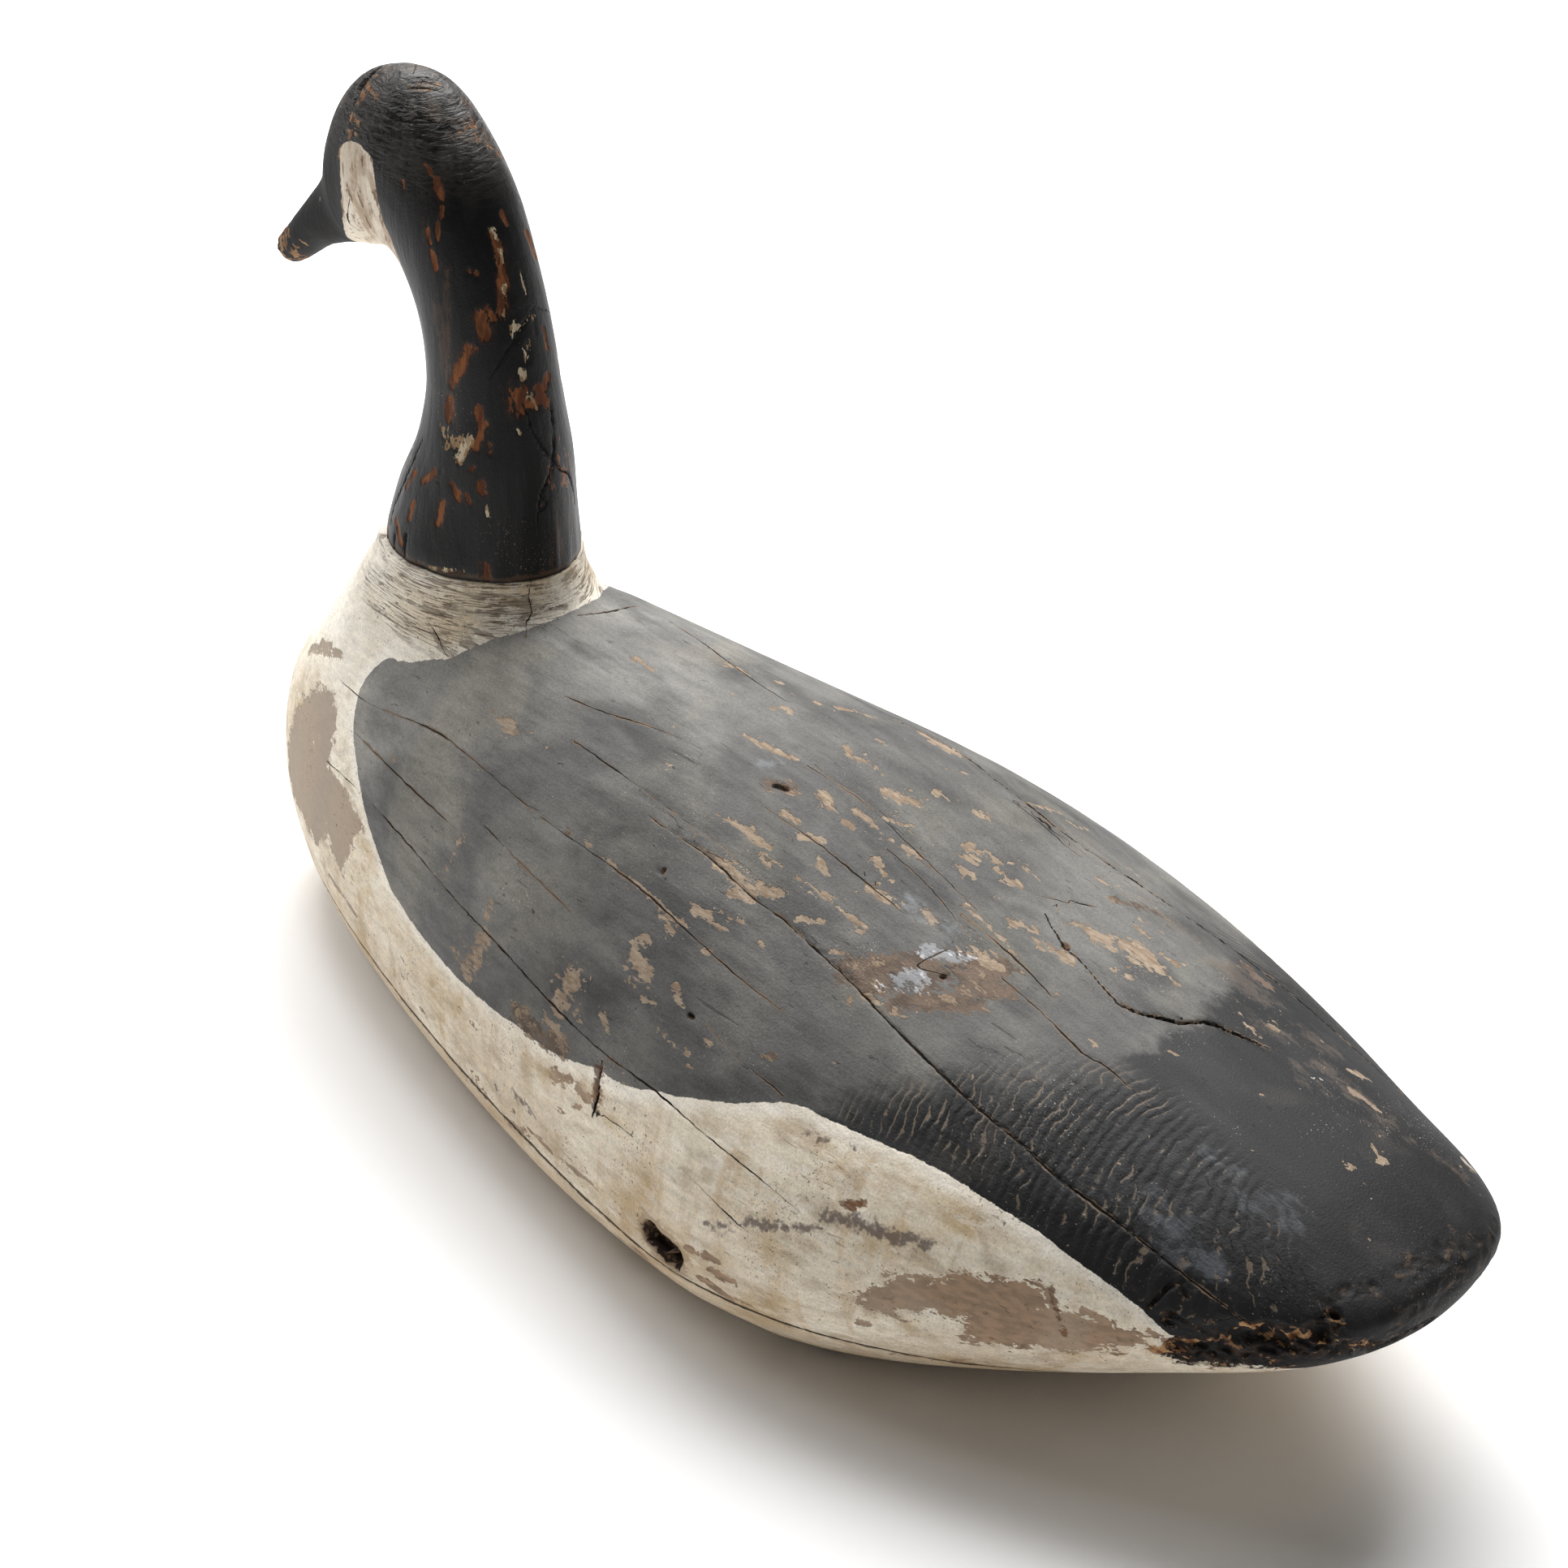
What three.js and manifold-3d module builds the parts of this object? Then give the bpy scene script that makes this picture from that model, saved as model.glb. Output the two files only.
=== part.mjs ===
// Carved and painted wooden goose decoy, with its bill towards +X and +Y on its left.
// Lengths are in millimetres and Z is up. The flat underside lies on Z = 0.
import * as THREE from "three";
import { mergeVertices } from "three/addons/utils/BufferGeometryUtils.js";
import Module from "manifold-3d";

const wasm = await Module();
wasm.setup();

// Driving dimensions of the body
const BODY_LENGTH = 620; // breast to tail end
const BODY_WIDTH = 266; // at the widest station
const SEAM_HEIGHT = 34; // glue line between the block and the bottom board
const SHOULDER_HEIGHT = 176; // back just behind the neck
const BACK_HEIGHT = 169; // back at mid length
const RUMP_HEIGHT = 134; // back where the tail begins
const TAIL_WIDTH = 111; // across the blunt tail before its corners are rounded
const TAIL_EDGE_HEIGHT = 96; // level of the edge around the tail
const TAIL_THICKNESS = 22; // from the tail's edge down to its underside
const BREAST_RISE = 26; // how far the fullest part of the breast stands above the seam
const BELLY_SINK = 30; // how far the round belly would reach below the flat underside

// Driving dimensions of the neck seat
const SEAT_LENGTH = 85;
const SEAT_WIDTH = 75;
const SEAT_HEIGHT = 190.5;
const SEAT_SETBACK = 119; // breast to the widest place of the seat
const COLLAR_LIP = 0.5; // collar stands out this much around the foot of the neck
const JOINT_GAP = 0.3;

// Driving dimensions of the neck and head
const HEAD_RISE = 189; // seat to crown
const BILL_REACH = 121; // widest place of the seat to the tip of the bill
const NECK_WIDTH = 47; // across the throat
const HEAD_WIDTH = 50; // across the cheeks
const BILL_TIP_WIDTH = 14;

// Driving dimensions of the damage
const CHIP_DEPTH = 4; // bites out of the left edge of the tail
const KNOT_LENGTH = 31; // sunken knot on the left flank
const KNOT_DEPTH = 3;
const SPLIT_WIDTH = 2.4; // open split over the crown
const SPLIT_DEPTH = 6;

// Facets
const BODY_STATIONS = 56;
const BODY_SIDES = 46;
const COLLAR_RINGS = 10;
const COLLAR_SIDES = 40;
const NECK_STATIONS = 46;
const NECK_SIDES = 28;
const CUT_SIDES = 10;
const CUT_BANDS = 6;

// Paint and wood
const FINISH = {
  body_upper: { color: 0x5b5955, roughness: 0.7, metalness: 0 },
  body_lower: { color: 0xb3a189, roughness: 0.8, metalness: 0 },
  neck_and_head: { color: 0x262524, roughness: 0.5, metalness: 0 },
};

const breastX = BODY_LENGTH / 2;
const seatX = breastX - SEAT_SETBACK;

// A smooth curve through [place, value] knots that never overshoots them
function throughKnots(knots) {
  const slopes = [];
  for (let i = 0; i < knots.length - 1; i += 1) {
    slopes.push((knots[i + 1][1] - knots[i][1]) / (knots[i + 1][0] - knots[i][0]));
  }
  const tangents = knots.map((knot, i) => {
    if (i === 0) return slopes[0];
    if (i === knots.length - 1) return slopes[i - 1];
    const turns = slopes[i - 1] * slopes[i] <= 0;
    return turns ? 0 : (2 * slopes[i - 1] * slopes[i]) / (slopes[i - 1] + slopes[i]);
  });
  return (place) => {
    const last = knots.length - 2;
    let i = 0;
    while (i < last && place > knots[i + 1][0]) i += 1;
    const span = knots[i + 1][0] - knots[i][0];
    const t = THREE.MathUtils.clamp((place - knots[i][0]) / span, 0, 1);
    const rise = t * t * (3 - 2 * t);
    const lead = t * (1 - t) * (1 - t) * span;
    const trail = t * t * (t - 1) * span;
    return knots[i][1] * (1 - rise) + knots[i + 1][1] * rise + lead * tangents[i] + trail * tangents[i + 1];
  };
}

// A rounded nose that grows from 0 at share 0 to 1 at the given share
function nose(share, length, power) {
  const left = THREE.MathUtils.clamp(1 - share / length, 0, 1);
  return (1 - left ** power) ** (1 / power);
}

// One coordinate of a rounded outline: fullness 2 is an ellipse, more is squarer
function bulge(turn, fullness) {
  return Math.sign(turn) * Math.abs(turn) ** (2 / fullness);
}

// A closed solid through rings of points, each ring the same number of points
function loft(rings) {
  const sides = rings[0].length;
  const points = rings.flat();
  const faces = [];
  for (let i = 0; i < rings.length - 1; i += 1) {
    for (let j = 0; j < sides; j += 1) {
      const a = i * sides + j;
      const b = i * sides + ((j + 1) % sides);
      faces.push([a, b, b + sides], [a, b + sides, a + sides]);
    }
  }
  const cap = (ringIndex, flip) => {
    const centre = new THREE.Vector3();
    for (const point of rings[ringIndex]) centre.addScaledVector(point, 1 / sides);
    points.push(centre);
    for (let j = 0; j < sides; j += 1) {
      const a = ringIndex * sides + j;
      const b = ringIndex * sides + ((j + 1) % sides);
      faces.push(flip ? [points.length - 1, b, a] : [points.length - 1, a, b]);
    }
  };
  cap(0, true);
  cap(rings.length - 1, false);
  const geometry = new THREE.BufferGeometry().setFromPoints(points);
  geometry.setIndex(faces.flat());
  return facingOut(mergeVertices(geometry, 1e-4));
}

// Turns every face over when the solid is inside out
function facingOut(geometry) {
  const position = geometry.attributes.position;
  const index = geometry.index.array;
  const corner = (i) => new THREE.Vector3().fromBufferAttribute(position, index[i]);
  let volume = 0;
  for (let i = 0; i < index.length; i += 3) {
    volume += corner(i).dot(corner(i + 1).cross(corner(i + 2)));
  }
  if (volume < 0) index.reverse();
  return geometry;
}

function toSolid(geometry) {
  const bare = new THREE.BufferGeometry();
  bare.setAttribute("position", geometry.attributes.position);
  bare.setIndex(geometry.index);
  const merged = mergeVertices(bare, 1e-4);
  const vertProperties = new Float32Array(merged.attributes.position.array);
  const triVerts = new Uint32Array(merged.index.array);
  return new wasm.Manifold(new wasm.Mesh({ numProp: 3, vertProperties, triVerts }));
}

function toGeometry(solid) {
  const mesh = solid.getMesh();
  const geometry = new THREE.BufferGeometry();
  geometry.setAttribute("position", new THREE.BufferAttribute(new Float32Array(mesh.vertProperties), 3));
  geometry.setIndex(new THREE.BufferAttribute(new Uint32Array(mesh.triVerts), 1));
  geometry.computeVertexNormals();
  return geometry;
}

// Body, all by share of its length from the breast
const WIDEST_SHARE = 0.595;
const BOW_SHARPNESS = 1.12;
const BOW_ROUNDNESS = 0.51;
const STERN_TAPER = 1.44;
const TAIL_ROUNDING_SHARE = 0.093;
const TAIL_ROUNDING = 3;
const EDGE_LOWEST_SHARE = 0.45;
const EDGE_SWEEP = 1.5;
const BACK_NOSE_SHARE = 0.26;
const BELLY_NOSE_SHARE = 0.2;
const NOSE_ROUNDNESS = 2;
const BELLY_TURN_SHARE = 0.655;
const BELLY_SWEEP = 1.2;
const BACK_FULLNESS = 2.2;
const BELLY_FULLNESS = 1.75;

const tailRounding = (share) => nose(1 - share, TAIL_ROUNDING_SHARE, TAIL_ROUNDING);

function halfWidth(share) {
  const ahead = THREE.MathUtils.clamp(1 - share / WIDEST_SHARE, 0, 1);
  const behind = THREE.MathUtils.clamp((share - WIDEST_SHARE) / (1 - WIDEST_SHARE), 0, 1);
  const bow = (1 - ahead ** BOW_SHARPNESS) ** BOW_ROUNDNESS;
  const taper = Math.cos((Math.PI / 2) * behind) ** STERN_TAPER;
  const tail = TAIL_WIDTH / BODY_WIDTH;
  return (BODY_WIDTH / 2) * bow * (tail + (1 - tail) * taper) * tailRounding(share);
}

// Level of the greatest width: high at the breast, on the seam amidships, highest at the tail
function edgeLevel(share) {
  const rear = THREE.MathUtils.clamp((share - EDGE_LOWEST_SHARE) / (1 - EDGE_LOWEST_SHARE), 0, 1);
  const ahead = THREE.MathUtils.clamp(1 - share / EDGE_LOWEST_SHARE, 0, 1);
  const tailRise = TAIL_EDGE_HEIGHT - SEAM_HEIGHT;
  return SEAM_HEIGHT + BREAST_RISE * ahead ** EDGE_SWEEP + tailRise * rear ** EDGE_SWEEP;
}

const backProfile = throughKnots([
  [0, SHOULDER_HEIGHT],
  [0.2, SHOULDER_HEIGHT],
  [0.35, (SHOULDER_HEIGHT + BACK_HEIGHT) / 2],
  [0.5, BACK_HEIGHT],
  [0.65, BACK_HEIGHT * 0.4 + RUMP_HEIGHT * 0.6],
  [0.8, RUMP_HEIGHT],
  [0.92, RUMP_HEIGHT * 0.65 + TAIL_EDGE_HEIGHT * 0.35],
  [1, RUMP_HEIGHT * 0.28 + TAIL_EDGE_HEIGHT * 0.72],
]);

function backLevel(share) {
  const edge = edgeLevel(share);
  const rise = backProfile(share) - edge;
  return edge + rise * nose(share, BACK_NOSE_SHARE, NOSE_ROUNDNESS) * tailRounding(share);
}

function bellyLevel(share) {
  const edge = edgeLevel(share);
  const rear = THREE.MathUtils.clamp((share - BELLY_TURN_SHARE) / (1 - BELLY_TURN_SHARE), 0, 1);
  const rise = TAIL_EDGE_HEIGHT - TAIL_THICKNESS + BELLY_SINK;
  const drop = edge + BELLY_SINK - rise * rear ** BELLY_SWEEP;
  return edge - drop * nose(share, BELLY_NOSE_SHARE, NOSE_ROUNDNESS) * tailRounding(share);
}

function bodySection(share) {
  const width = halfWidth(share);
  const edge = edgeLevel(share);
  const above = backLevel(share) - edge;
  const below = edge - bellyLevel(share);
  const ring = [];
  for (let j = 0; j < BODY_SIDES; j += 1) {
    const angle = (2 * Math.PI * j) / BODY_SIDES;
    const up = Math.sin(angle);
    const fullness = up >= 0 ? BACK_FULLNESS : BELLY_FULLNESS;
    const y = width * bulge(Math.cos(angle), fullness);
    const z = edge + (up >= 0 ? above : below) * bulge(up, fullness);
    ring.push(new THREE.Vector3(breastX - BODY_LENGTH * share, y, z));
  }
  return ring;
}

function bodyBlank() {
  const rings = [];
  const first = 0.0006; // share of the length at which the ends are cut off flat
  const crowding = 0.8; // how much closer the stations are towards the ends
  for (let i = 0; i <= BODY_STATIONS; i += 1) {
    const even = i / BODY_STATIONS;
    const crowded = (1 - Math.cos(Math.PI * even)) / 2;
    const place = crowding * crowded + (1 - crowding) * even;
    rings.push(bodySection(first + (1 - 2 * first) * place));
  }
  return toSolid(loft(rings));
}

// Neck seat: an oval, widest a little ahead of its middle, pointed behind and full in front
const SEAT_REAR_SHARE = 0.548;
const SEAT_REAR_FULLNESS = 1.83;
const SEAT_FRONT_FULLNESS = 2.2;
const ROUND = 2;

// A point of the oval: how far ahead of its widest place and how far to the left
function ovalPoint(angle, rear, front, half, seatness) {
  const ahead = Math.cos(angle);
  const fullest = ahead > 0 ? SEAT_FRONT_FULLNESS : SEAT_REAR_FULLNESS;
  const fullness = THREE.MathUtils.lerp(ROUND, fullest, seatness);
  const reach = ahead > 0 ? front : rear;
  return [reach * bulge(ahead, fullness), half * bulge(Math.sin(angle), fullness)];
}

// Collar: a wall from the seat down to the block, by angle from dead ahead as a share of half a turn
const COLLAR_REACH = throughKnots([[0, 60], [0.25, 31], [0.5, 13], [0.75, 8], [1, 6.5]]);
const COLLAR_HOLLOWING = throughKnots([[0, 0.87], [0.25, 0.88], [0.5, 1.9], [0.75, 1.9], [1, 1.7]]);
const COLLAR_SINK = 0.7; // the wall ends this far below the block's surface
const COLLAR_ROOT = 10; // and then runs on inside it

// Level of the block's upper surface at a point of the plan
function surfaceLevel(x, y) {
  const share = (breastX - x) / BODY_LENGTH;
  const edge = edgeLevel(share);
  const aside = THREE.MathUtils.clamp(Math.abs(y) / halfWidth(share), 0, 1);
  return edge + (backLevel(share) - edge) * (1 - aside ** BACK_FULLNESS) ** (1 / BACK_FULLNESS);
}

function collar() {
  const rear = SEAT_LENGTH * SEAT_REAR_SHARE + COLLAR_LIP;
  const front = SEAT_LENGTH * (1 - SEAT_REAR_SHARE) + COLLAR_LIP;
  const half = SEAT_WIDTH / 2 + COLLAR_LIP;
  const rings = Array.from({ length: COLLAR_RINGS + 2 }, () => []);
  for (let j = 0; j < COLLAR_SIDES; j += 1) {
    const angle = (2 * Math.PI * j) / COLLAR_SIDES;
    const turn = Math.min(angle, 2 * Math.PI - angle) / Math.PI;
    const [ahead, left] = ovalPoint(angle, rear, front, half, 1);
    const seat = new THREE.Vector3(seatX + ahead, left, SEAT_HEIGHT);
    const footX = seat.x + COLLAR_REACH(turn) * Math.cos(angle);
    const footY = seat.y + COLLAR_REACH(turn) * Math.sin(angle);
    const foot = new THREE.Vector3(footX, footY, surfaceLevel(footX, footY) - COLLAR_SINK);
    for (let i = 0; i <= COLLAR_RINGS; i += 1) {
      const down = i / COLLAR_RINGS;
      const out = down ** COLLAR_HOLLOWING(turn);
      const point = seat.clone().lerp(foot, out);
      point.z = THREE.MathUtils.lerp(seat.z, foot.z, down);
      rings[i].push(point);
    }
    const root = foot.clone().lerp(seat, COLLAR_ROOT / SEAT_LENGTH);
    root.z = foot.z - COLLAR_ROOT;
    rings[COLLAR_RINGS + 1].push(root);
  }
  return toSolid(loft(rings));
}

// A block that spans the whole body between two levels
function slab(bottom, top) {
  const geometry = new THREE.BoxGeometry(2 * BODY_LENGTH, 2 * BODY_WIDTH, top - bottom);
  geometry.translate(0, 0, (top + bottom) / 2);
  return toSolid(geometry);
}

// Neck and head: sections that fan from the throat to the nape, over the crown and down the bill
// Each is [ahead, up], as shares of BILL_REACH ahead of the seat and of HEAD_RISE above it
const NECK_SECTIONS = [
  { name: "seat", throat: [0, 0], nape: [0, 0], width: SEAT_WIDTH },
  { name: "foot", throat: [0.266, 0.134], nape: [-0.383, 0.118], width: NECK_WIDTH * 1.36 },
  { name: "lower neck", throat: [0.188, 0.249], nape: [-0.377, 0.237], width: NECK_WIDTH * 1.18 },
  { name: "throat", throat: [0.145, 0.387], nape: [-0.344, 0.389], width: NECK_WIDTH * 1.02 },
  { name: "nape", throat: [0.166, 0.501], nape: [-0.26, 0.62], width: NECK_WIDTH },
  { name: "back of head", throat: [0.238, 0.579], nape: [-0.1, 0.851], width: HEAD_WIDTH * 0.97 },
  { name: "crown", throat: [0.31, 0.594], nape: [0.171, 1], width: HEAD_WIDTH },
  { name: "forehead", throat: [0.355, 0.592], nape: [0.443, 0.966], width: HEAD_WIDTH * 0.97 },
  { name: "brow", throat: [0.406, 0.582], nape: [0.569, 0.857], width: HEAD_WIDTH * 0.85 },
  { name: "bill root", throat: [0.535, 0.561], nape: [0.649, 0.725], width: BILL_TIP_WIDTH * 2.17 },
  { name: "middle of the bill", throat: [0.716, 0.514], nape: [0.815, 0.598], width: BILL_TIP_WIDTH * 1.63 },
  { name: "end of the bill", throat: [0.917, 0.429], nape: [0.975, 0.492], width: BILL_TIP_WIDTH },
  { name: "tip of the bill", throat: [0.954, 0.437], nape: [1, 0.472], width: BILL_TIP_WIDTH * 0.6 },
];
const ROUND_FROM = 2; // section from which the neck is a plain oval

function neckPoint([ahead, up]) {
  return new THREE.Vector3(seatX + BILL_REACH * ahead, 0, SEAT_HEIGHT + JOINT_GAP + HEAD_RISE * up);
}

function neckAndHead() {
  const last = NECK_SECTIONS.length - 1;
  const throats = NECK_SECTIONS.map((section) => neckPoint(section.throat));
  const napes = NECK_SECTIONS.map((section) => neckPoint(section.nape));
  throats[0].x = seatX + SEAT_LENGTH * (1 - SEAT_REAR_SHARE);
  napes[0].x = seatX - SEAT_LENGTH * SEAT_REAR_SHARE;
  const throatLine = new THREE.CatmullRomCurve3(throats);
  const napeLine = new THREE.CatmullRomCurve3(napes);
  const width = throughKnots(NECK_SECTIONS.map((section, i) => [i / last, section.width]));
  const rings = [];
  for (let i = 0; i <= NECK_STATIONS; i += 1) {
    const along = i / NECK_STATIONS;
    const throat = throatLine.getPoint(along);
    const nape = napeLine.getPoint(along);
    const seatness = THREE.MathUtils.clamp(1 - (along * last) / ROUND_FROM, 0, 1);
    const rearShare = THREE.MathUtils.lerp(0.5, SEAT_REAR_SHARE, seatness);
    const widest = nape.clone().lerp(throat, rearShare);
    const forward = throat.clone().sub(nape);
    const ring = [];
    for (let j = 0; j < NECK_SIDES; j += 1) {
      const angle = (2 * Math.PI * j) / NECK_SIDES;
      const [ahead, left] = ovalPoint(angle, rearShare, 1 - rearShare, width(along) / 2, seatness);
      const point = widest.clone().addScaledVector(forward, ahead);
      point.y = left;
      ring.push(point);
    }
    rings.push(ring);
  }
  return toSolid(loft(rings));
}

// An ellipsoid to cut away, of the given half sizes, turned and placed
function hollow(halfSizes, rotation, centre) {
  const geometry = new THREE.SphereGeometry(1, CUT_SIDES, CUT_BANDS);
  const turn = new THREE.Quaternion().setFromEuler(new THREE.Euler(...rotation));
  geometry.applyMatrix4(new THREE.Matrix4().compose(centre, turn, new THREE.Vector3(...halfSizes)));
  return toSolid(geometry);
}

// Broken left edge of the tail: a ragged trough that follows the edge
// Each place is [share of the body's length, share of CHIP_DEPTH, height, lift above the edge]
const TAIL_BREAK = [
  [0.896, 0, 5, 3],
  [0.904, 0.7, 14, 2],
  [0.915, 1, 21, 1],
  [0.924, 0.7, 19, 0],
  [0.934, 1.25, 26, 1],
  [0.945, 0.8, 21, 2],
  [0.954, 1.2, 23, 1],
  [0.964, 0.75, 18, 3],
  [0.973, 1.1, 17, 2],
  [0.982, 0.6, 11, 4],
  [0.99, 0, 5, 5],
];
const BREAK_SIDES = 9;
const BREAK_SWELL = 7; // how far outside the edge the trough is centred
const BREAK_FLARE = 0.7; // half height of the trough's section where it meets the edge

function tailBreak() {
  const step = 0.003; // share of the length over which the edge's heading is taken
  const rings = TAIL_BREAK.map(([share, depth, height, lift]) => {
    const narrowing = halfWidth(share - step) - halfWidth(share + step);
    const heading = Math.atan2(narrowing, 2 * step * BODY_LENGTH);
    const across = BREAK_SWELL + CHIP_DEPTH * depth;
    const ring = [];
    for (let j = 0; j < BREAK_SIDES; j += 1) {
      const angle = (2 * Math.PI * j) / BREAK_SIDES;
      const out = BREAK_SWELL - across * Math.cos(angle);
      ring.push(new THREE.Vector3(
        breastX - BODY_LENGTH * share - out * Math.sin(heading),
        halfWidth(share) + out * Math.cos(heading),
        edgeLevel(share) + lift + height * BREAK_FLARE * Math.sin(angle),
      ));
    }
    return ring;
  });
  return toSolid(loft(rings));
}

const KNOT_SHARE = 0.598;
const KNOT_RISE = 11.5; // above the seam
const KNOT_HEIGHT = 13;

function flankKnot() {
  const swell = KNOT_DEPTH; // the ellipsoid is centred this far outside the flank
  const spread = Math.sqrt(1 - (swell / (swell + KNOT_DEPTH)) ** 2);
  const centre = new THREE.Vector3(
    breastX - BODY_LENGTH * KNOT_SHARE,
    halfWidth(KNOT_SHARE) + swell,
    SEAM_HEIGHT + KNOT_RISE,
  );
  return hollow([KNOT_LENGTH / 2 / spread, swell + KNOT_DEPTH, KNOT_HEIGHT / 2 / spread], [0, 0, 0], centre);
}

const SPLIT_AHEAD = 0.385; // over the crown, as a share of BILL_REACH
const SPLIT_LENGTH = 26;
const SPLIT_LEFT = 11;
const SPLIT_LEAN = -0.72; // it runs down the left side of the head

function crownSplit() {
  const centre = neckPoint([SPLIT_AHEAD, 0.978]);
  centre.y = SPLIT_LEFT;
  return hollow([SPLIT_WIDTH / 2, SPLIT_LENGTH / 2, SPLIT_DEPTH], [SPLIT_LEAN, 0, 0], centre);
}

const blank = bodyBlank();
const block = blank.intersect(slab(SEAM_HEIGHT + JOINT_GAP / 2, SEAT_HEIGHT));
const upper = block.add(collar()).subtract(tailBreak()).subtract(flankKnot());
const lower = blank.intersect(slab(0, SEAM_HEIGHT - JOINT_GAP / 2));
const neck = neckAndHead().subtract(crownSplit());

// The origin is on the underside, below the middle of the whole length
const pieces = { body_upper: upper, body_lower: lower, neck_and_head: neck };
const boxes = Object.values(pieces).map((solid) => solid.boundingBox());
const front = Math.max(...boxes.map((box) => box.max[0]));
const rear = Math.min(...boxes.map((box) => box.min[0]));

const decoy = new THREE.Group();
for (const [name, solid] of Object.entries(pieces)) {
  const geometry = toGeometry(solid.translate([-(front + rear) / 2, 0, 0]));
  const mesh = new THREE.Mesh(geometry, new THREE.MeshStandardMaterial(FINISH[name]));
  mesh.name = name;
  decoy.add(mesh);
}

export default decoy;
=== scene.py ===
"""A carved and painted wooden goose decoy, weathered and worn, on a pale studio floor.

The two boards of the body and the neck keep the form of their solids. On them come the drying checks,
the rippled end grain, the broken tail corner, the knot hole, the worn neck shelf and the old paint.
"""

from __future__ import annotations

import logging
import math
from dataclasses import dataclass, field
from enum import Enum

import bpy
import numpy as np
from mathutils import Matrix, Vector
from mathutils.bvhtree import BVHTree

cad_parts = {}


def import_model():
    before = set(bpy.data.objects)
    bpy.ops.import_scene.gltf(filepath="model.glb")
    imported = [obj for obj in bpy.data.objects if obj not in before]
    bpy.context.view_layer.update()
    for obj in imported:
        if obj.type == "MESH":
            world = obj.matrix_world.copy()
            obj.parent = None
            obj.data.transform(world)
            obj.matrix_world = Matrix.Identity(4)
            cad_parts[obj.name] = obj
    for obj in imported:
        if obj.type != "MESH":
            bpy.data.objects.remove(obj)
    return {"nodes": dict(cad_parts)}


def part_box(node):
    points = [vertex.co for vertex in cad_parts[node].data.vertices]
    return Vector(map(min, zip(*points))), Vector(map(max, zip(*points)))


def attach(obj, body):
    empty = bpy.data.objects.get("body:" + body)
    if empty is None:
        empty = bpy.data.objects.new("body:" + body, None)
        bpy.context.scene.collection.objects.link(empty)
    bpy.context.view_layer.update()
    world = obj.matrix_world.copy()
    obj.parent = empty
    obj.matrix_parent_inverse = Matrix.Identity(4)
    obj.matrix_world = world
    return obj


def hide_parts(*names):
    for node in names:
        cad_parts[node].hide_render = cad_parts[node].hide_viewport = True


LOG = logging.getLogger("decoy")
MM = 0.001
CHECK_STRAY = 0.5  # pixels that a check strays from its smooth line
PATH_STEP = 9  # pixels between the places of a check's path
STROKE_STEP = 14  # pixels between the places of a streak's path
FAR_SLIDE = 0.012  # how far a mirrored mark is shifted along the body, in metres
FIELD_REACH = 7 * MM  # how far from a check its distance is stored
CUT_MARGIN = 0.22 * MM  # how far a check's cut reaches past its opening
CUT_SLOPE = 0.45 * MM  # how wide the slope of a check's wall is
LEAST_STROKE = 0.0006  # the least half width of a streak, in metres
SMOOTH_ANGLE = math.radians(62)
SEAM_HEIGHT = 0.03395
NECK_CENTRE = 0.187
SHRINK, SWELL = 0.6, -0.61  # the two turns of fairing, which together keep a mesh's size
Pixel = tuple[float, float]


class Slot(Enum):
    """The paint slots of the record."""

    BODY = "body_paint"
    BOARD = "board_paint"
    NECK = "neck_paint"


class Side(Enum):
    """Where a mark lies: on the side in view, or on it and at its mirror place as well."""

    SEEN = "seen"
    BOTH = "both"


BOTH = Side.BOTH


@dataclass(frozen=True)
class Viewpoint:
    """Where the photograph was taken from, and how its pixels meet the object.

    Args:
        azimuth: Direction of the camera round the aim, in degrees.
        elevation: Height of the camera above the aim, in degrees.
        distance: Distance of the camera from the aim, in metres.
        aim: The point in the middle of the picture.
        focal: Lens length for a 36 mm wide picture.
        picture: Side of the square picture, in pixels.
    """

    azimuth: float = 136.39
    elevation: float = 32.069
    distance: float = 1.61186
    aim: tuple[float, float, float] = (0.0254, -0.0105, 0.1423)
    focal: float = 96.49
    picture: float = 1932.0

    def axes(self) -> np.ndarray:
        """Returns the picture's right, up and back directions as rows."""
        turn, rise = math.radians(self.azimuth), math.radians(self.elevation)
        back = np.array([math.cos(rise) * math.cos(turn), math.cos(rise) * math.sin(turn), math.sin(rise)])
        right = np.cross([0.0, 0.0, 1.0], back)
        right /= np.linalg.norm(right)
        return np.stack([right, np.cross(back, right), back])

    def eye(self) -> np.ndarray:
        """Returns the camera's place."""
        return np.array(self.aim) + self.axes()[2] * self.distance

    def ray(self, pixel: Pixel) -> Vector:
        """Returns the direction from the camera through a pixel."""
        right, up, back = self.axes()
        reach = self.focal / 36.0 * self.picture
        half = self.picture / 2
        way = -back + right * (pixel[0] - half) / reach + up * (half - pixel[1]) / reach
        return Vector(way).normalized()

    def set_up(self) -> None:
        """Places the camera and makes it the scene's own."""
        bpy.ops.object.camera_add(location=self.eye())
        camera = bpy.context.object
        camera.name = "photo_camera"
        camera.rotation_euler = Matrix(self.axes().T.tolist()).to_euler()
        camera.data.lens = self.focal
        camera.data.sensor_width = 36.0
        camera.data.clip_start = 0.01
        bpy.context.scene.camera = camera


VIEW = Viewpoint()


@dataclass(frozen=True)
class Check:
    """A drying check or crack, by its places in the photograph.

    Args:
        path: Its places, in pixels.
        width: Its widest opening, in millimetres.
        depth: How deep it is cut, in millimetres.
        side: Where it lies.
    """

    path: tuple[Pixel, ...]
    width: float
    depth: float
    side: Side = Side.SEEN


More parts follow.
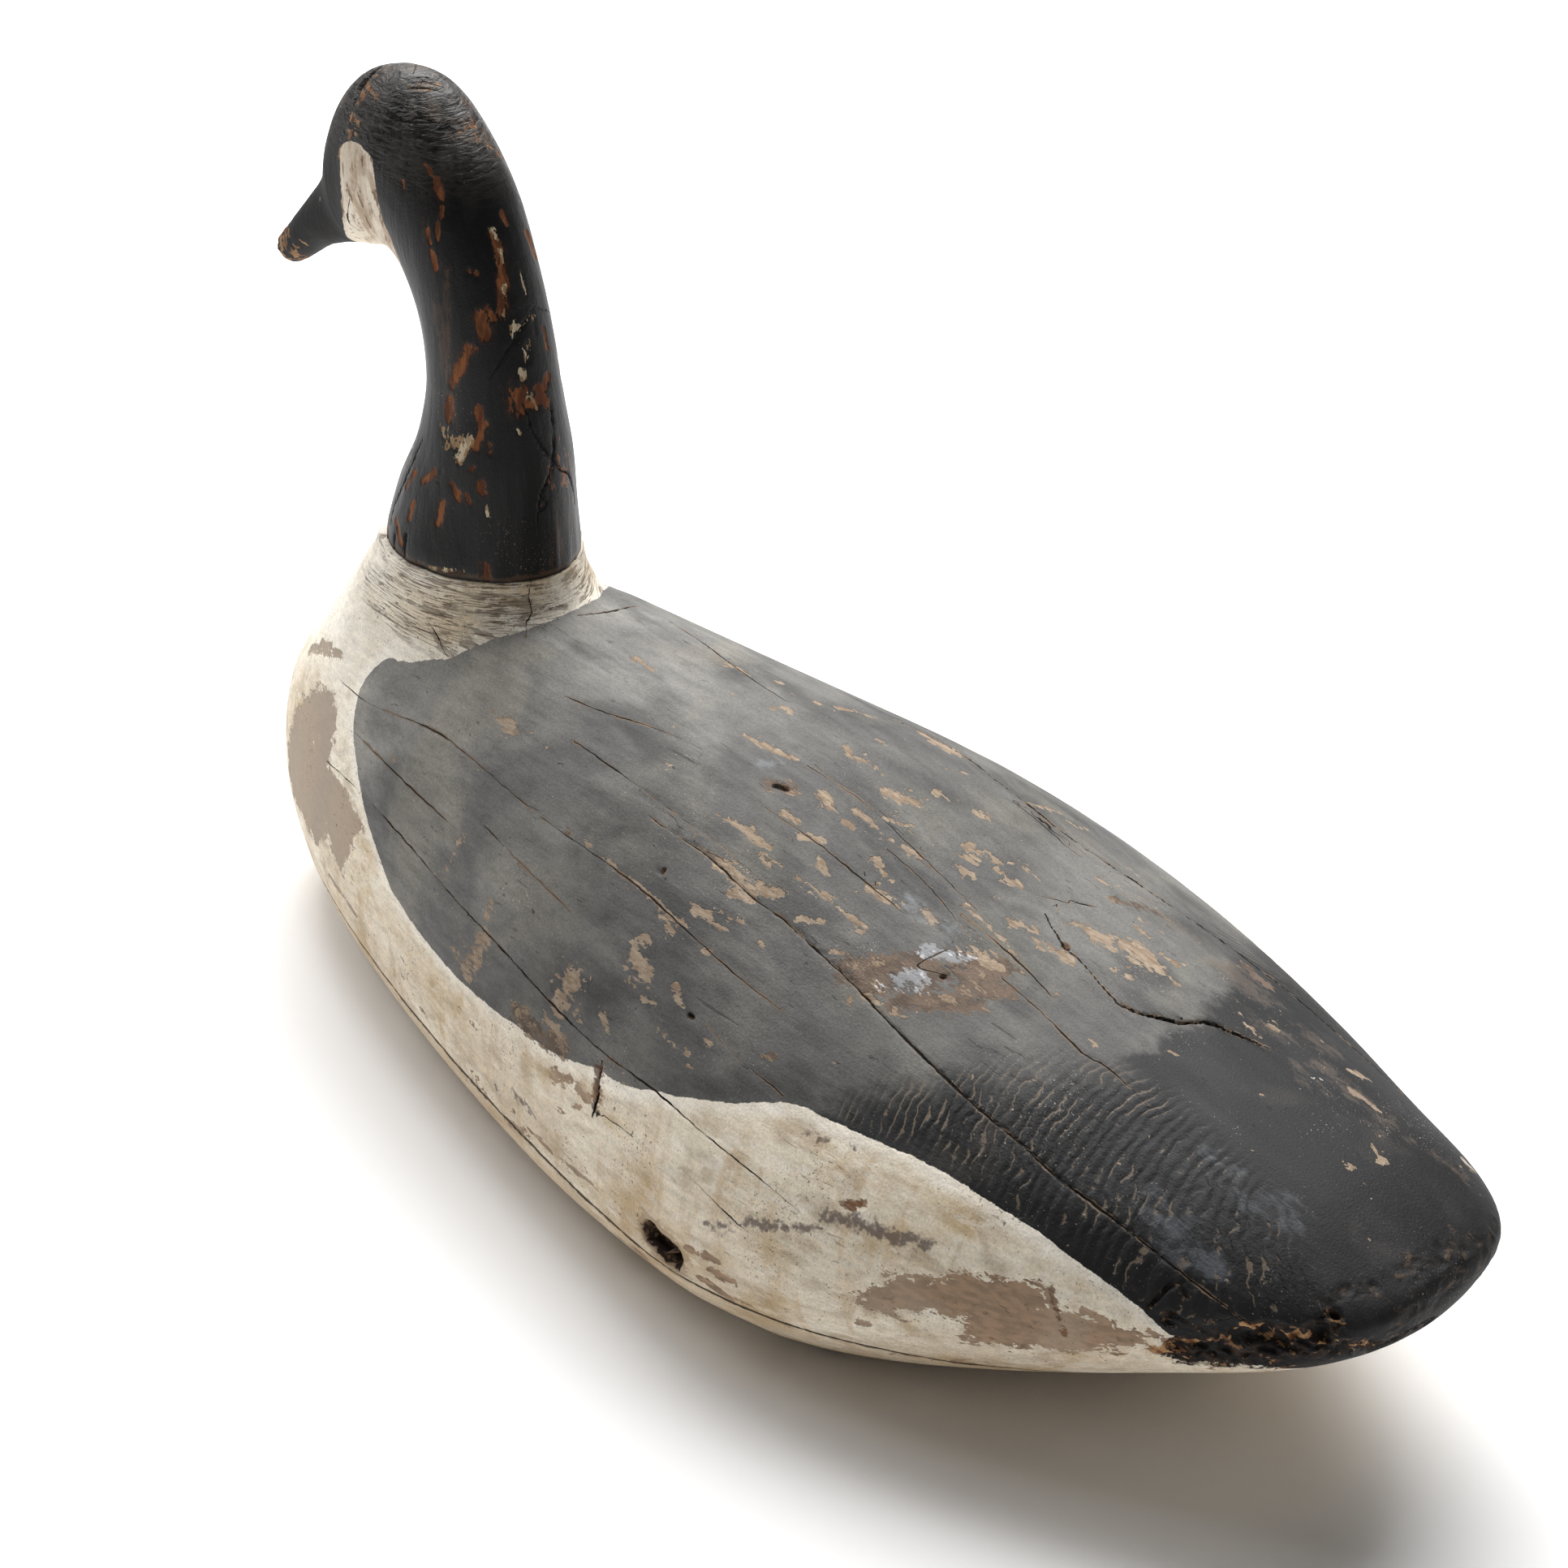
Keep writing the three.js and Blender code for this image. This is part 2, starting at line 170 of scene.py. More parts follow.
@dataclass(frozen=True)
class Streak:
    """A place where paint is gone or another tone lies, as a stroke in the photograph.

    Args:
        start: One end, in pixels.
        end: The other end, in pixels.
        width: Its width, in pixels.
        side: Where it lies.
    """

    start: Pixel
    end: Pixel
    width: float
    side: Side = Side.SEEN


def strokes(*rows: tuple) -> tuple[Streak, ...]:
    """Returns streaks from rows of pixels: x and y of both ends, the width and perhaps the side."""
    return tuple(Streak(row[:2], row[2:4], *row[4:]) for row in rows)


@dataclass
class Line:
    """A mark's path on the wood.

    Args:
        points: Its places, in metres.
        normals: The wood's outward direction at each.
    """

    points: np.ndarray
    normals: np.ndarray

    def mirrored(self, skin: "Skin", slide: float) -> "Line":
        """Returns the same path on the other side, set on the wood.

        Args:
            skin: The wood's surface.
            slide: A shift along the body, in metres.
        """
        flipped = self.points * np.array([1.0, -1.0, 1.0]) + np.array([slide, 0.0, 0.0])
        return skin.settle(flipped)

    def measure(self, places: np.ndarray, reach: float) -> tuple[np.ndarray, ...]:
        """Measures how places lie to the path.

        Args:
            places: The places, in metres.
            reach: Places further than this from the path are left out.

        Returns:
            The indices of the near places, their distance along the surface, their signed distance
            across the path, and how far along it they are, from 0 to 1.
        """
        low, high = self.points.min(0) - reach, self.points.max(0) + reach
        near = np.nonzero(np.all((places > low) & (places < high), axis=1))[0]
        spot = places[near]
        best = np.full(len(near), 1e9)
        across = np.zeros(len(near))
        along = np.zeros(len(near))
        count = len(self.points) - 1
        for step in range(count):
            start, way = self.points[step], self.points[step + 1] - self.points[step]
            size = max(float(way @ way), 1e-12)
            share = np.clip((spot - start) @ way / size, 0.0, 1.0)
            normal = self.normals[step] + self.normals[step + 1]
            normal = normal / max(np.linalg.norm(normal), 1e-9)
            off = spot - start - share[:, None] * way
            off = off - (off @ normal)[:, None] * normal
            gap = np.linalg.norm(off, axis=1)
            closer = gap < best
            best[closer] = gap[closer]
            sideways = np.cross(way / math.sqrt(size), normal)
            across[closer] = (off @ sideways)[closer]
            along[closer] = ((step + share) / count)[closer]
        held = best < reach
        return near[held], best[held], across[held], along[held]


class Skin:
    """The wood's surface, on which marks are placed."""

    def __init__(self, shape: bpy.types.Object) -> None:
        """Reads a mesh.

        Args:
            shape: The mesh object.
        """
        self.tree = BVHTree.FromObject(shape, bpy.context.evaluated_depsgraph_get())
        self.eye = Vector(VIEW.eye())

    def pick(self, pixels: np.ndarray | tuple[Pixel, ...]) -> Line | None:
        """Returns the wood's places that the pixels show, or nothing where all of them miss."""
        points, normals = [], []
        for pixel in pixels:
            place, normal, _, _ = self.tree.ray_cast(self.eye, VIEW.ray(pixel))
            if place is not None:
                points.append(place)
                normals.append(normal)
        if len(points) < 2:
            return None
        return Line(np.array(points), np.array(normals))

    def settle(self, places: np.ndarray) -> Line:
        """Returns the nearest places on the wood."""
        found = [self.tree.find_nearest(Vector(place)) for place in places]
        return Line(np.array([hit[0] for hit in found]), np.array([hit[1] for hit in found]))

    def trace(self, mark: Check | Streak, wander: float = 0.0) -> list[Line]:
        """Returns a mark's paths on the wood, one for each side that it lies on.

        Args:
            mark: The check or streak.
            wander: How far a path strays from its smooth line, in pixels.
        """
        if isinstance(mark, Check):
            pixels = smooth_path(mark.path, wander)
        else:
            steps = max(2, int(math.dist(mark.start, mark.end) / STROKE_STEP) + 1)
            shares = np.linspace(0.0, 1.0, steps)[:, None]
            pixels = np.array(mark.start) * (1 - shares) + np.array(mark.end) * shares
        line = self.pick(pixels)
        if line is None:
            return []
        return [line] if mark.side is Side.SEEN else [line, line.mirrored(self, FAR_SLIDE)]


def smooth_path(path: tuple[Pixel, ...], wander: float) -> np.ndarray:
    """Returns a smooth run through a path's places, with a small natural stray.

    Args:
        path: The places, in pixels.
        wander: The stray, in pixels.
    """
    knots = np.array(path, float)
    held = np.vstack([2 * knots[0] - knots[1], knots, 2 * knots[-1] - knots[-2]])
    run = []
    for step in range(1, len(held) - 2):
        before, start, end, after = held[step - 1 : step + 3]
        count = max(2, int(np.linalg.norm(end - start) / PATH_STEP))
        for share in np.arange(count) / count:
            bend = (2 * before - 5 * start + 4 * end - after) * share**2
            twist = (3 * start - before - 3 * end + after) * share**3
            run.append(0.5 * (2 * start + (end - before) * share + bend + twist))
    run.append(held[-2])
    shape = np.array(run)
    x, y = shape[:, :1], shape[:, 1:]
    stray = np.sin(x * 0.31 + y * 0.17) + np.sin(x * 0.11 - y * 0.43)
    return shape + wander * 0.5 * stray * np.array([1.0, -1.0])


def noise(places: np.ndarray, size: float | tuple[float, float, float], seed: int = 0) -> np.ndarray:
    """Returns smooth noise from -1 to 1 at each place.

    Args:
        places: The places, in metres.
        size: The size of its features, in metres, or one size for each axis.
        seed: Which of many such noises.
    """
    spot = places / np.array(size) + seed * 17.37
    cell = np.floor(spot).astype(np.int64)
    part = spot - cell
    part = part * part * (3 - 2 * part)
    total = np.zeros(len(places))
    for corner in range(8):
        bits = np.array([corner & 1, corner >> 1 & 1, corner >> 2 & 1])
        key = (cell + bits) @ np.array([73856093, 19349663, 83492791]) + seed * 2654435
        key = (key ^ (key >> 13)) * 1274126177 & 0x7FFFFFFF
        key = (key ^ (key >> 15)) & 0xFFFF
        share = np.prod(np.where(bits, part, 1 - part), axis=1)
        total += share * (key / 32767.5 - 1.0)
    return total


def rough(places: np.ndarray, size: float, seed: int = 0, layers: int = 3) -> np.ndarray:
    """Returns layered noise from about -1 to 1, each layer half the size of the one before."""
    total = np.zeros(len(places))
    for layer in range(layers):
        total += noise(places, size / 2**layer, seed + layer) / 2**layer
    return total / 1.6


def ease(values: np.ndarray, low: float, high: float) -> np.ndarray:
    """Returns a smooth rise from 0 at low to 1 at high."""
    share = np.clip((values - low) / (high - low), 0.0, 1.0)
    return share * share * (3 - 2 * share)


def only(shape: bpy.types.Object) -> None:
    """Makes one object the only selected and active one."""
    bpy.ops.object.select_all(action="DESELECT")
    shape.select_set(True)
    bpy.context.view_layer.objects.active = shape


def copy_node(node: bpy.types.Object, name: str) -> bpy.types.Object:
    """Returns a merged copy of a solid's mesh as a new object."""
    shape = bpy.data.objects.new(name, node.data.copy())
    shape.data.name = name
    shape.data.materials.clear()
    bpy.context.scene.collection.objects.link(shape)
    only(shape)
    bpy.ops.object.mode_set(mode="EDIT")
    bpy.ops.mesh.select_all(action="SELECT")
    bpy.ops.mesh.remove_doubles(threshold=0.00002)
    bpy.ops.object.mode_set(mode="OBJECT")
    return shape


def places_of(shape: bpy.types.Object) -> np.ndarray:
    """Returns a mesh's vertices as rows."""
    flat = np.empty(len(shape.data.vertices) * 3, np.float32)
    shape.data.vertices.foreach_get("co", flat)
    return flat.reshape(-1, 3).astype(float)


def directions_of(shape: bpy.types.Object) -> np.ndarray:
    """Returns a mesh's vertex normals as rows."""
    flat = np.empty(len(shape.data.vertices) * 3, np.float32)
    shape.data.vertex_normals.foreach_get("vector", flat)
    return flat.reshape(-1, 3).astype(float)


def move_to(shape: bpy.types.Object, places: np.ndarray) -> None:
    """Moves a mesh's vertices."""
    shape.data.vertices.foreach_set("co", places.astype(np.float32).ravel())
    shape.data.update()


def finish_modifier(shape: bpy.types.Object, kind: str, **settings: object) -> None:
    """Adds a modifier with its settings and applies it."""
    only(shape)
    bpy.ops.object.modifier_add(type=kind)
    modifier = shape.modifiers[-1]
    for name, value in settings.items():
        setattr(modifier, name, value)
    bpy.ops.object.modifier_apply(modifier=modifier.name)


def fair(shape: bpy.types.Object, cell: float, rounds: int, levels: int, held: np.ndarray) -> None:
    """Turns a faceted solid into an even mesh and fairs its facets away, without shrinking it.

    Args:
        shape: The solid.
        cell: Size of the even mesh, in metres.
        rounds: How often it is relaxed, with two turns each.
        levels: How often it is then subdivided.
        held: Spheres as rows of x, y, z and radius, inside which the form is left crisper.
    """
    only(shape)
    shape.data.remesh_voxel_size = cell
    shape.data.remesh_voxel_adaptivity = 0.0
    bpy.ops.object.voxel_remesh()
    places = places_of(shape)
    ends = np.empty(len(shape.data.edges) * 2, np.int32)
    shape.data.edges.foreach_get("vertices", ends)
    first, second = ends[0::2], ends[1::2]
    degree = np.bincount(ends, minlength=len(places)).astype(float)[:, None]
    freedom = np.ones((len(places), 1))
    for x, y, z, radius in held:
        gap = np.linalg.norm(places - np.array([x, y, z]), axis=1)
        freedom = np.minimum(freedom, 0.12 + 0.88 * ease(gap, radius * 0.7, radius * 1.3)[:, None])
    for step in range(rounds * 2):
        pull = np.zeros_like(places)
        for axis in range(3):
            pull[:, axis] = np.bincount(first, places[second, axis], len(places))
            pull[:, axis] += np.bincount(second, places[first, axis], len(places))
        strength = SHRINK if step % 2 == 0 else SWELL
        places = places + freedom * strength * (pull / degree - places)
    move_to(shape, places)
    finish_modifier(shape, "SUBSURF", levels=levels, render_levels=levels)


def saw(shape: bpy.types.Object, height: float, keep_above: bool) -> None:
    """Cuts a mesh level and closes the cut.

    Args:
        shape: The mesh object.
        height: Where it is cut, in metres.
        keep_above: Whether the part above the cut stays.
    """
    only(shape)
    bpy.ops.object.mode_set(mode="EDIT")
    bpy.ops.mesh.select_all(action="SELECT")
    bpy.ops.mesh.bisect(
        plane_co=(0.0, 0.0, height),
        plane_no=(0.0, 0.0, 1.0),
        use_fill=True,
        clear_inner=keep_above,
        clear_outer=not keep_above,
    )
    bpy.ops.object.mode_set(mode="OBJECT")


def thin_out(shape: bpy.types.Object, triangles: int) -> None:
    """Reduces a mesh to a number of triangles, keeping its relief."""
    finish_modifier(shape, "TRIANGULATE")
    count = len(shape.data.polygons)
    if count > triangles:
        finish_modifier(shape, "DECIMATE", ratio=triangles / count)
    only(shape)
    bpy.ops.object.shade_smooth_by_angle(angle=SMOOTH_ANGLE)


def keep_in_box(shape: bpy.types.Object, node: str) -> None:
    """Holds a piece within the box of the solid that it stands for."""
    low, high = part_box(node)
    move_to(shape, np.clip(places_of(shape), np.array(low), np.array(high)))


def lay_field(shape: bpy.types.Object, name: str, values: np.ndarray) -> None:
    """Stores one number for each vertex, for the finish to read."""
    shape.data.attributes.new(name, "FLOAT", "POINT").data.foreach_set("value", values.astype(np.float32))


def opening(along: np.ndarray) -> np.ndarray:
    """Returns how wide a check stands open along its length, as a share of its widest place."""
    return 0.25 + 0.75 * np.sin(np.pi * np.clip(along, 0.03, 0.97)) ** 0.6


def checks_field(places: np.ndarray, skin: Skin, checks: tuple[Check, ...]) -> dict[str, np.ndarray]:
    """Measures the places against all checks.

    Args:
        places: The places, in metres.
        skin: The wood's surface.
        checks: The checks.

    Returns:
        By field name, the signed distance across the nearest check, the distance from it and half
        its width there, all in millimetres.
    """
    across = np.full(len(places), 9.0)
    apart = np.full(len(places), 9.0)
    half = np.full(len(places), 0.05)
    for check in checks:
        for line in skin.trace(check, CHECK_STRAY):
            near, gap, side, along = line.measure(places, FIELD_REACH)
            # Deep checks get a wider band, so that the painted shade covers their walls.
            swell = check.width / 2 * opening(along) + (0.25 if check.depth > 2 else 0.0)
            closer = gap / MM - swell < apart[near] - half[near]
            spot = near[closer]
            apart[spot] = (gap / MM)[closer]
            across[spot] = (side / MM)[closer]
            half[spot] = swell[closer]
    return {"check_across": across, "check_apart": apart, "check_half": half}


def cut_checks(places: np.ndarray, skin: Skin, checks: tuple[Check, ...]) -> np.ndarray:
    depth = np.zeros(len(places))
    for check in checks:
        for line in skin.trace(check, CHECK_STRAY):
            near, gap, _, along = line.measure(places, (3 + check.width) * MM)
            half = check.width * MM / 2 * opening(along)
            groove = np.clip((half + CUT_MARGIN - gap) / CUT_SLOPE, 0, 1)
            depth[near] = np.maximum(depth[near], groove * check.depth * MM)
    return depth


def streaks_field(
    places: np.ndarray, skin: Skin, streaks: tuple[Streak, ...], reach: float = 3.0
) -> np.ndarray:
    """Returns 1 along the middle of the streaks, 0 at their edges and less further out.

    Args:
        places: The places, in metres.
        skin: The wood's surface.
        streaks: The streaks.
        reach: How far out a streak counts, in half widths.
    """
    scale = VIEW.distance / (VIEW.focal / 36.0 * VIEW.picture)
    total = np.full(len(places), 1 - reach)
    for streak in streaks:
        half = max(streak.width / 2 * scale, LEAST_STROKE)
        for line in skin.trace(streak):
            near, gap, _, _ = line.measure(places, half * reach)
            total[near] = np.maximum(total[near], 1 - gap / half)
    return total


def inside(spots: np.ndarray, outline: np.ndarray) -> np.ndarray:
    """Returns the distance from an outline, positive within it.

    Args:
        spots: Flat places as rows of two.
        outline: The closed outline's corners.
    """
    best = np.full(len(spots), 1e9)
    odd = np.zeros(len(spots), bool)
    for start, end in zip(outline, np.roll(outline, -1, axis=0)):
        way = end - start
        share = np.clip((spots - start) @ way / max(float(way @ way), 1e-12), 0, 1)
        best = np.minimum(best, np.linalg.norm(spots - start - share[:, None] * way, axis=1))
        spans = (start[1] > spots[:, 1]) != (end[1] > spots[:, 1])
        rise = way[1] if abs(way[1]) > 1e-12 else 1e-12
        odd ^= spans & (spots[:, 0] < start[0] + (spots[:, 1] - start[1]) / rise * way[0])
    return np.where(odd, best, -best)


class Wire:
    """A shader socket on which sums are written as Python expressions."""

    def __init__(self, recipe: "Recipe", socket: bpy.types.NodeSocket) -> None:
        """Wraps a socket.

        Args:
            recipe: The material being made.
            socket: The output socket.
        """
        self.recipe = recipe
        self.socket = socket

    def __add__(self, other: "Wire | float") -> "Wire":
        """Adds."""
        return self.recipe.maths("ADD", self, other)

    __radd__ = __add__

    def __mul__(self, other: "Wire | float") -> "Wire":
        """Multiplies."""
        return self.recipe.maths("MULTIPLY", self, other)

    __rmul__ = __mul__

    def __sub__(self, other: "Wire | float") -> "Wire":
        """Takes away."""
        return self.recipe.maths("SUBTRACT", self, other)

    def __rsub__(self, other: float) -> "Wire":
        """Takes this away from a number."""
        return self.recipe.maths("SUBTRACT", other, self)

    def __abs__(self) -> "Wire":
        """Drops the sign."""
        return self.recipe.maths("ABSOLUTE", self)

    def over(self, other: "Wire | float") -> "Wire":
        """Returns the larger of the two."""
        return self.recipe.maths("MAXIMUM", self, other)

    def rise(self, low: float, high: float) -> "Wire":
        """Returns a smooth rise from 0 at low to 1 at high, or a fall where low is the larger."""
        settings = {"interpolation_type": "SMOOTHSTEP", "clamp": True}
        sockets = {"Value": self, "From Min": low, "From Max": high, "To Min": 0.0, "To Max": 1.0}
        if low > high:
            sockets.update({"From Min": high, "From Max": low, "To Min": 1.0, "To Max": 0.0})
        return self.recipe.node("ShaderNodeMapRange", settings, sockets, "Result")

    def turns(self) -> "Wire":
        """Returns the part after the decimal point."""
        return self.recipe.maths("FRACT", self)


Colour = tuple[float, float, float]


def tone(red: int, green: int, blue: int) -> Colour:
    """Returns a linear colour from its screen values, 0 to 255."""
    shares = [value / 255 for value in (red, green, blue)]
    return tuple(share / 12.92 if share <= 0.04045 else ((share + 0.055) / 1.055) ** 2.4 for share in shares)


class Recipe:
    """One material and its node tree."""

    def __init__(self, name: str) -> None:
        """Starts a material.

        Args:
            name: The material's name.
        """
        self.material = bpy.data.materials.new(name)
        self.material.use_nodes = True
        self.tree = self.material.node_tree
        self.shader = next(n for n in self.tree.nodes if n.type == "BSDF_PRINCIPLED")
        self.place = self.node("ShaderNodeTexCoord", {}, {}, "Object")
        self.paint = None

    def node(self, kind: str, settings: dict, sockets: dict, out: str | int) -> Wire:
        """Adds a node.

        Args:
            kind: The node's type.
            settings: Its settings.
            sockets: Values or wires for its inputs, by name or number.
            out: The output that is returned.

        Returns:
            The output as a wire.
        """
        made = self.tree.nodes.new(kind)
        for name, value in settings.items():
            setattr(made, name, value)
        for name, value in sockets.items():
            if isinstance(value, Wire):
                self.tree.links.new(value.socket, made.inputs[name])
            elif isinstance(value, tuple) and made.inputs[name].type == "RGBA":
                made.inputs[name].default_value = (*value, 1.0)
            else:
                made.inputs[name].default_value = value
        return Wire(self, made.outputs[out])

    def maths(self, operation: str, first: Wire | float, second: Wire | float | None = None) -> Wire:
        """Adds a Math node and returns its result."""
        sockets = {0: first} if second is None else {0: first, 1: second}
        return self.node("ShaderNodeMath", {"operation": operation}, sockets, 0)

    def field(self, name: str) -> Wire:
        """Returns a number stored on the mesh."""
        return self.node("ShaderNodeAttribute", {"attribute_name": name}, {}, "Fac")

    def stretched(self, stretch: Colour) -> Wire:
        """Returns the object's coordinates, scaled along each axis."""
        return self.node("ShaderNodeMapping", {}, {"Vector": self.place, "Scale": stretch}, "Vector")

    def noise(self, scale: float, detail: float = 2.0, where: Wire | None = None, warp: float = 0.0) -> Wire:
        """Returns noise about 0 that seldom passes -1 or 1.

        Args:
            scale: Features in a metre.
            detail: Its number of finer layers.
            where: The coordinates, if not the object's.
            warp: How much it is distorted.
        """
        sockets = {"Vector": where or self.place, "Scale": scale, "Detail": detail, "Distortion": warp}
        gain = 4 + 0.6 * detail
        return self.node("ShaderNodeTexNoise", {}, sockets, "Fac") * gain - gain / 2

    def mix(self, share: Wire | float, under: Wire | Colour, over: Wire | Colour) -> Wire:
        """Returns one colour laid over another.

        Args:
            share: How much of the upper colour shows.
            under: The lower colour.
            over: The upper colour.
        """
        return self.node("ShaderNodeMix", {"data_type": "RGBA"}, {0: share, 6: under, 7: over}, 2)

    def lay(self, share: Wire | float, over: Wire | Colour) -> None:
        """Lays a colour over the paint so far."""
        self.paint = self.mix(share, self.paint, over)

    def shade(self, colour: Wire | Colour, amount: Wire) -> Wire:
        """Returns a colour made lighter or darker by an amount about 1."""
        grey = self.node("ShaderNodeCombineXYZ", {}, {"X": amount, "Y": amount, "Z": amount}, "Vector")
        settings = {"data_type": "RGBA", "blend_type": "MULTIPLY"}
        return self.node("ShaderNodeMix", settings, {0: 1.0, 6: colour, 7: grey}, 2)

    def shaken(self, where: Wire, scale: float, reach: float) -> Wire:
        """Returns coordinates that are moved about by noise.

        Args:
            where: The coordinates.
            scale: Features of the noise in a metre.
            reach: How far they are moved, in metres.
        """
        shift = self.node("ShaderNodeTexNoise", {}, {"Vector": where, "Scale": scale, "Detail": 2.0}, "Color")
        kind, middle = "ShaderNodeVectorMath", (0.5, 0.5, 0.5)
        centred = self.node(kind, {"operation": "SUBTRACT"}, {0: shift, 1: middle}, 0)
        small = self.node(kind, {"operation": "SCALE"}, {0: centred, "Scale": reach}, 0)
        return self.node(kind, {"operation": "ADD"}, {0: where, 1: small}, 0)

    def chips(self, scale: float, where: Wire) -> Wire:
        """Returns a value from -1 to 1, the same all over each of many small angular chips.

        Args:
            scale: Chips in a metre.
            where: The coordinates.
        """
        lot = self.node("ShaderNodeTexVoronoi", {}, {"Vector": where, "Scale": scale}, "Color")
        return self.node("ShaderNodeSeparateColor", {}, {"Color": lot}, 0) * 2 - 1

    def specks(self, scale: float, rarity: float) -> Wire:
        """Returns scattered specks, in loose swarms.

        Args:
            scale: Speck places in a metre.
            rarity: How rare they are, from 0 for half of the surface to about 2 for nearly none.
        """
        return (self.noise(scale, 1) + self.noise(28, 3) * 0.35).rise(rarity, rarity + 0.15)

    def hairs(self, scale: float, stretch: Colour, rarity: float) -> Wire:
        """Returns fine broken lines that follow the grain.

        Args:
            scale: Line places in a metre.
            stretch: How the coordinates are scaled, small along the grain.
            rarity: How rare they are, from 0 for half of the surface to about 2 for nearly none.
        """
        streak = self.noise(scale, 1, self.stretched(stretch)) + self.noise(30, 3) * 0.35
        return streak.rise(rarity, rarity + 0.2)

    def finish(self, roughness: Wire, height: Wire, depth: float) -> None:
        """Connects the paint and its finish.

        Args:
            roughness: The roughness.
            height: The fine relief, about 0 to 1.
            depth: How high that relief is, in metres.
        """
        self.tree.links.new(self.paint.socket, self.shader.inputs["Base Color"])
        self.tree.links.new(roughness.socket, self.shader.inputs["Roughness"])
        relief = {"Height": height, "Distance": depth, "Strength": 1.0}
        bump = self.node("ShaderNodeBump", {}, relief, "Normal")
        self.tree.links.new(bump.socket, self.shader.inputs["Normal"])


